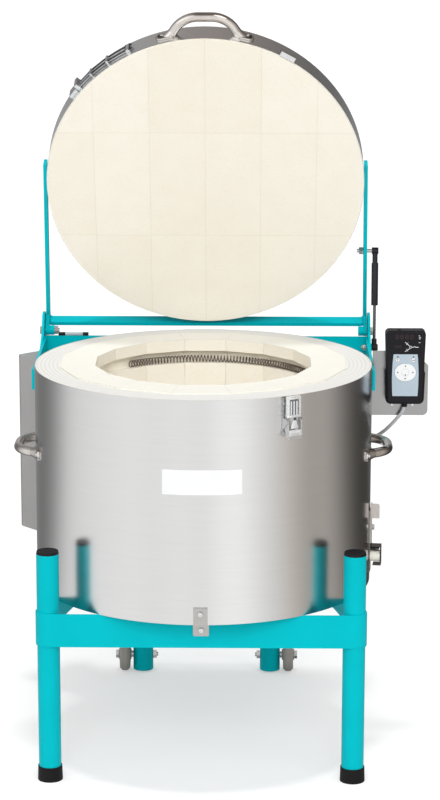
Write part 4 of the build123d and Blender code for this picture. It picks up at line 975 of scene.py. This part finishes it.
# %% [markdown]
# ## The controller's face
# A grey-blue film with holes for the keys covers the keypad. A filled 2D curve cuts
# such a sheet at once and is then made a mesh. The marks are thinner sheets.

# %% Sheets cut from closed outlines
def round_outline(half_width, half_height, steps=48, middle=(0, 0)):
    """The points of an ellipse, in millimetres."""
    for step in range(steps):
        angle = math.tau * step / steps
        yield middle[0] + half_width * math.cos(angle), middle[1] + half_height * math.sin(angle)


def cut_sheet(outlines, thickness):
    """A flat sheet on the origin, cut to outlines. One inside another is a hole."""
    curve = bpy.data.curves.new("outline", "CURVE")
    curve.dimensions = "2D"
    curve.fill_mode = "BOTH"
    curve.extrude = thickness / 2 * MM
    for outline in outlines:
        outline = list(outline)
        line = curve.splines.new("POLY")
        line.points.add(len(outline) - 1)
        for point, (x, y) in zip(line.points, outline):
            point.co = (x * MM, y * MM, 0, 1)
        line.use_cyclic_u = True
    sheet = new_object("sheet", curve)
    sheet.location.z = thickness / 2 * MM
    start(sheet)
    bpy.ops.object.convert(target="MESH")
    sheet = settled()
    enter_edit()
    bpy.ops.mesh.remove_doubles(threshold=0.01 * MM)
    bpy.ops.mesh.normals_make_consistent()
    leave_edit()
    return sheet


# %% The keypad's film
case_low, case_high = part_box("controller_case")
face_y = case_low.y / MM
face_x = (case_low.x + case_high.x) / 2 / MM
film_sheet = 0.4
film_low, film_high = 785.0, 879.0
film_bottom_half, film_top_half, film_bulge = 27.6, 26.4, 8.6
key_side, key_height, key_radius = 17.2, 866.0, 4.5
pad_height, pad_half_width, pad_half_height = 838.5, 23.5, 19.75
key_play = 0.5


def on_face(x, z, proud=0.0):
    """The matrix of a spot on the controller's face, by its distance from the middle."""
    return looking(Vector((face_x + x, face_y - proud, z)) * MM, front)


def film_edge(share):
    """How far the film reaches to each side, from its bottom (0) to its top (1)."""
    straight = film_bottom_half * (1 - share) + film_top_half * share
    return straight + film_bulge * share * (1 - share)


film_steps = 12
film_middle = (film_low + film_high) / 2
film_height = film_high - film_low
right_edge = [
    (film_edge(step / film_steps), film_height * (step / film_steps - 0.5))
    for step in range(film_steps + 1)
]
left_edge = [(-x, y) for x, y in reversed(right_edge)]
hole_radius = key_radius + key_play
film_holes = [
    round_outline(hole_radius, hole_radius, 24, (side, key_height - film_middle))
    for side in (-key_side, key_side)
]
pad_hole = (pad_half_width + key_play, pad_half_height + key_play)
film_holes.append(round_outline(*pad_hole, middle=(0, pad_height - film_middle)))
film = cut_sheet([right_edge + left_edge, *film_holes], film_sheet)
put(film, "keypad_film", on_face(0, film_middle), "kiln", "grey_plastic", panel_blue)
print("the film has", len(film.data.polygons), "faces")

# %% Marks on the keys and the film
mark_sheet = 0.15
key_front = -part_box("key_left")[0].y / MM
key_proud = key_front + face_y
marks = [
    ("lamp_left", -key_side, key_height + 7.2, 1.7, "kiln"),
    ("lamp_right", key_side, key_height + 7.2, 1.7, "kiln"),
    ("key_left_upper", -key_side, key_height + 2.2, 1.1, "key_left_body"),
    ("key_left_lower", -key_side, key_height - 1.6, 1.1, "key_left_body"),
    ("key_right_near", key_side - 1.2, key_height, 1.2, "key_right_body"),
    ("key_right_far", key_side + 2.0, key_height, 1.2, "key_right_body"),
    ("pad_up", 0, pad_height + 14.2, 1.5, "nav_pad_body"),
    ("pad_left", -16.6, pad_height, 1.5, "nav_pad_body"),
    ("pad_right", 16.6, pad_height, 1.5, "nav_pad_body"),
    ("pad_down", 0, pad_height - 13.8, 1.5, "nav_pad_body"),
    ("select", 0, pad_height - 5.8, 1.4, "select_key_body"),
]
for name, x, z, radius, body in marks:
    proud = film_sheet if body == "kiln" else key_proud
    mark = cut_sheet([round_outline(radius, radius, 16)], mark_sheet)
    put(mark, "mark_" + name, on_face(x, z, proud), body, "black_plastic", print_dark)
print(len(marks), "printed marks")

# %% [markdown]
# Behind the window are four large digits, three small ones and a white drawing of a
# firing curve. All are unlit in the picture, so every bar has the same dull red.

# %% Digits and the firing curve
window_proud = (case_low.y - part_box("controller_window")[0].y) / MM


def digit_bars(x, z, width, height):
    """The seven bars of a digit, each a flat six-cornered outline."""
    thick = width * 0.17
    tip = thick / 2
    half = height / 2
    flat = [(0, level * half, width, False) for level in (1, 0, -1)]
    tall = [(side * width / 2, level * half / 2, half, True) for level in (1, -1) for side in (-1, 1)]
    for side_x, side_z, long, upright in flat + tall:
        reach = long / 2 - thick * 0.7
        near, far = -reach + tip, reach - tip
        bar = [(-reach, 0), (near, tip), (far, tip), (reach, 0), (far, -tip), (near, -tip)]
        yield [
            (x + side_x + (v if upright else u), z + side_z + (u if upright else v))
            for u, v in bar
        ]


window_middle = 903.0
digits = []
for number in range(4):
    digits += digit_bars(-19.0 + 10.6 * number, 15.0, 6.4, 9.0)
for number in range(3):
    digits += digit_bars(-22.0 + 5.2 * number, -7.0, 3.4, 5.6)
shown = cut_sheet(digits, mark_sheet)
display_at = on_face(0, window_middle, window_proud)
put(shown, "display_digits", display_at, "kiln", "red_plastic", dim_red)


def stroke(start_at, end_at, width):
    """A straight bar between two points, as a closed outline."""
    near, far = Vector(start_at), Vector(end_at)
    run = far - near
    side = Vector((-run.y, run.x)).normalized() * (width / 2)
    return [tuple(point) for point in (near + side, far + side, far - side, near - side)]


curve_strokes = [
    ((-1.5, 3.5), (8.0, -5.0), 1.3),
    ((8.8, -11.0), (-1.5, -18.0), 1.3),
    ((13.5, -8.0), (17.5, -8.0), 1.3),
    ((21.5, -8.0), (28.5, -8.0), 1.3),
    ((1.0, -2.5), (5.0, 2.0), 0.9),
    ((1.5, -12.0), (5.0, -17.0), 0.9),
]
rings, ring_line = [(10.8, -8.0, 2.8), (19.5, -8.0, 2.2)], 1.1
drawing = [stroke(*line) for line in curve_strokes]
for x, y, radius in rings:
    for edge in (radius, radius - ring_line):
        drawing.append(round_outline(edge, edge, 20, (x, y)))
row_start, row_line = 28.5, 1.2
for row, length in ((18.0, 2.5), (14.5, 4.5), (11.0, 4.5), (2.5, 3.5)):
    drawing.append(stroke((row_start, row), (row_start + length, row), row_line))
put(cut_sheet(drawing, mark_sheet), "firing_curve", display_at, "kiln", "white_plastic", print_white)
print("the display shows", len(digits), "bars and", len(drawing), "lines")

# %% [markdown]
# ## The latch
# The latch's wire carries a pressed plate with three ribs and a rounded claw on top.
# Below it the lever has a tapered tooth and a small plate. A pressed plate starts from
# a block whose front is inset and pushed in, which leaves a rim.

# %% The pressed plate on the wire and the lever's plate
def block(width, height, depth, round_by, middle=(0, 0), base=0.0):
    """A block with rounded edges, standing on the plane Z = 0 or that far above it."""
    start()
    centre = Vector((*middle, base + depth / 2)) * MM
    bpy.ops.mesh.primitive_cube_add(size=1, location=centre)
    bpy.context.object.scale = (width * MM, height * MM, depth * MM)
    made = settled()
    enter_edit()
    bpy.ops.mesh.bevel(offset=round_by * MM, segments=3)
    leave_edit()
    return made


def press_in(piece, rim, depth):
    """Inset the front of a block and push it in."""
    enter_edit()
    front_z = max(v.co.z for v in bmesh.from_edit_mesh(piece.data).verts) - 0.01 * MM
    select_faces(
        piece, lambda face: face.normal.z > 0.999 and face.calc_center_median().z > front_z
    )
    sink(rim, depth)
    leave_edit()
    return piece


def joined(pieces):
    """Several pieces made one object."""
    start(*pieces)
    bpy.ops.object.join()
    return bpy.context.object


latch_azimuth, latch_wire_front = 30.0, 379.6
hook_low, hook_high, hook_width = 820.0, 865.0, 33.0
hook_height = hook_high - hook_low
hook_depth, hook_sunk = 8.5, 3.0
hook_floor = hook_depth - hook_sunk
hook_plate = press_in(block(hook_width, hook_height, hook_depth, 1.0), 4.5, hook_sunk)
ribs = [block(3.4, 31.0, 3.0, 1.2, (x, -3.0), hook_floor - 0.2) for x in (-6.8, 0.0, 6.8)]
claw = block(24.0, 5.0, 4.5, 1.8, (0, hook_height / 2 - 4.0), hook_floor)
lip = block(30.0, 4.0, 4.0, 1.6, (0, -hook_height / 2 + 3.0), hook_floor)
hook = joined([hook_plate, *ribs, claw, lip])
hook_at = on_wall(latch_azimuth, latch_wire_front, (hook_low + hook_high) / 2)
put(hook, "latch_hook", hook_at, "latch_bail_body", "zinc", bright_chrome)
# A thin grey sheet on the recess floor, behind the ribs, is painted shade between them.
back = block(22.5, 34.5, 0.6, 0.2, (0, -1.0), hook_floor)
put(back, "latch_hook_recess_shade", hook_at, "latch_bail_body", "zinc", slot_shade)

tooth_front, tooth_middle = 388.0, 806.5
tooth_outline = [(-9.5, -9.5), (9.5, -9.5), (8.5, -5.0), (3.6, 8.0), (-3.6, 8.0), (-8.5, -5.0)]
tooth = cut_sheet([tooth_outline], 1.8)
apply_modifier(tooth, "BEVEL", width=0.6 * MM, segments=2)
tooth_at = on_wall(latch_azimuth, tooth_front, tooth_middle)
put(tooth, "latch_tooth", tooth_at, "latch_lever_body", "zinc", bright_chrome)
tail_front, tail_middle = 390.8, 787.0
tail = press_in(block(26.0, 15.0, 1.2, 0.5), 2.0, 0.5)
tail_at = on_wall(latch_azimuth, tail_front, tail_middle)
put(tail, "latch_tail", tail_at, "latch_lever_body", "zinc", bright_chrome)
rivet_azimuth, rivet_front, rivet_heights = latch_azimuth - 2.2, 372.2, (848.0, 786.0)
rivets = [on_wall(rivet_azimuth, rivet_front, height) for height in rivet_heights]
screws("latch_rivet", rivets, "kiln", 2.6, 1.4, 0.2)
print("the latch has", len(ribs), "ribs")

# %% [markdown]
# ## Cement in the lid's joints
# The bricks of the lid are cemented, so the joints hardly show. Thin bars, a little
# darker than the brick, fill each joint.

# %% Fill the joints
def oblong(low_x, high_x, low_y, high_y):
    """A rectangle's four corners."""
    return [(low_x, low_y), (high_x, low_y), (high_x, high_y), (low_x, high_y)]


lid_face, joint_fill, joint_bar = 866.3, 0.5, 3.5
brick_edge, crossing_gap, below_face = 356.0, 0.3, 0.12
joint_outlines = []
joint_columns = [brick_width * number for number in range(-2, 3)]
for x in joint_columns:
    half = math.sqrt(brick_edge**2 - x**2)
    joint_outlines.append(oblong(x - joint_fill / 2, x + joint_fill / 2, -half, half))
for y in (-brick_length / 2, brick_length / 2):
    edge = math.sqrt(brick_edge**2 - y**2)
    stops = [-edge, *joint_columns, edge]
    for near, far in zip(stops, stops[1:]):
        low_x, high_x = near + crossing_gap, far - crossing_gap
        joint_outlines.append(oblong(low_x, high_x, y - joint_fill / 2, y + joint_fill / 2))
cement = cut_sheet(joint_outlines, joint_bar)
cement_place = on_axis(lid_face + below_face + joint_bar)
cement_at = opened @ looking(cement_place, (0, 0, -1), (0, 1, 0))
put(cement, "lid_joint_cement", cement_at, "lid", "fire_brick", cement_look)
print("filled", len(joint_outlines), "lengths of joint")

# %% [markdown]
# ## Inside the vent's cap
# A dark block fills the room between the cap's folded top and the tube. It swings with the cap, and ends high
# enough for its corners to pass the tube.

# %% The pad in the cap
pad_width, pad_tall, pad_deep = 22.0, 5.0, 19.0
pad_low, pad_distance = 454.0, 373.0
pad = block(pad_width, pad_tall, pad_deep, 0.6)
pad_at = on_wall(vent_azimuth, pad_distance, pad_low + pad_tall / 2)
put(pad, "vent_cap_pad", pad_at, "vent_cap_body", "stainless", dark_chrome)
print("the pad ends", pad_low, "mm above the floor")

# %% [markdown]
# ## The end
# The looks may not change the kiln's size, so the box of the engineering model and the
# box of what is shown are written side by side.

# %% Bring the view layer up to date
bpy.context.view_layer.update()
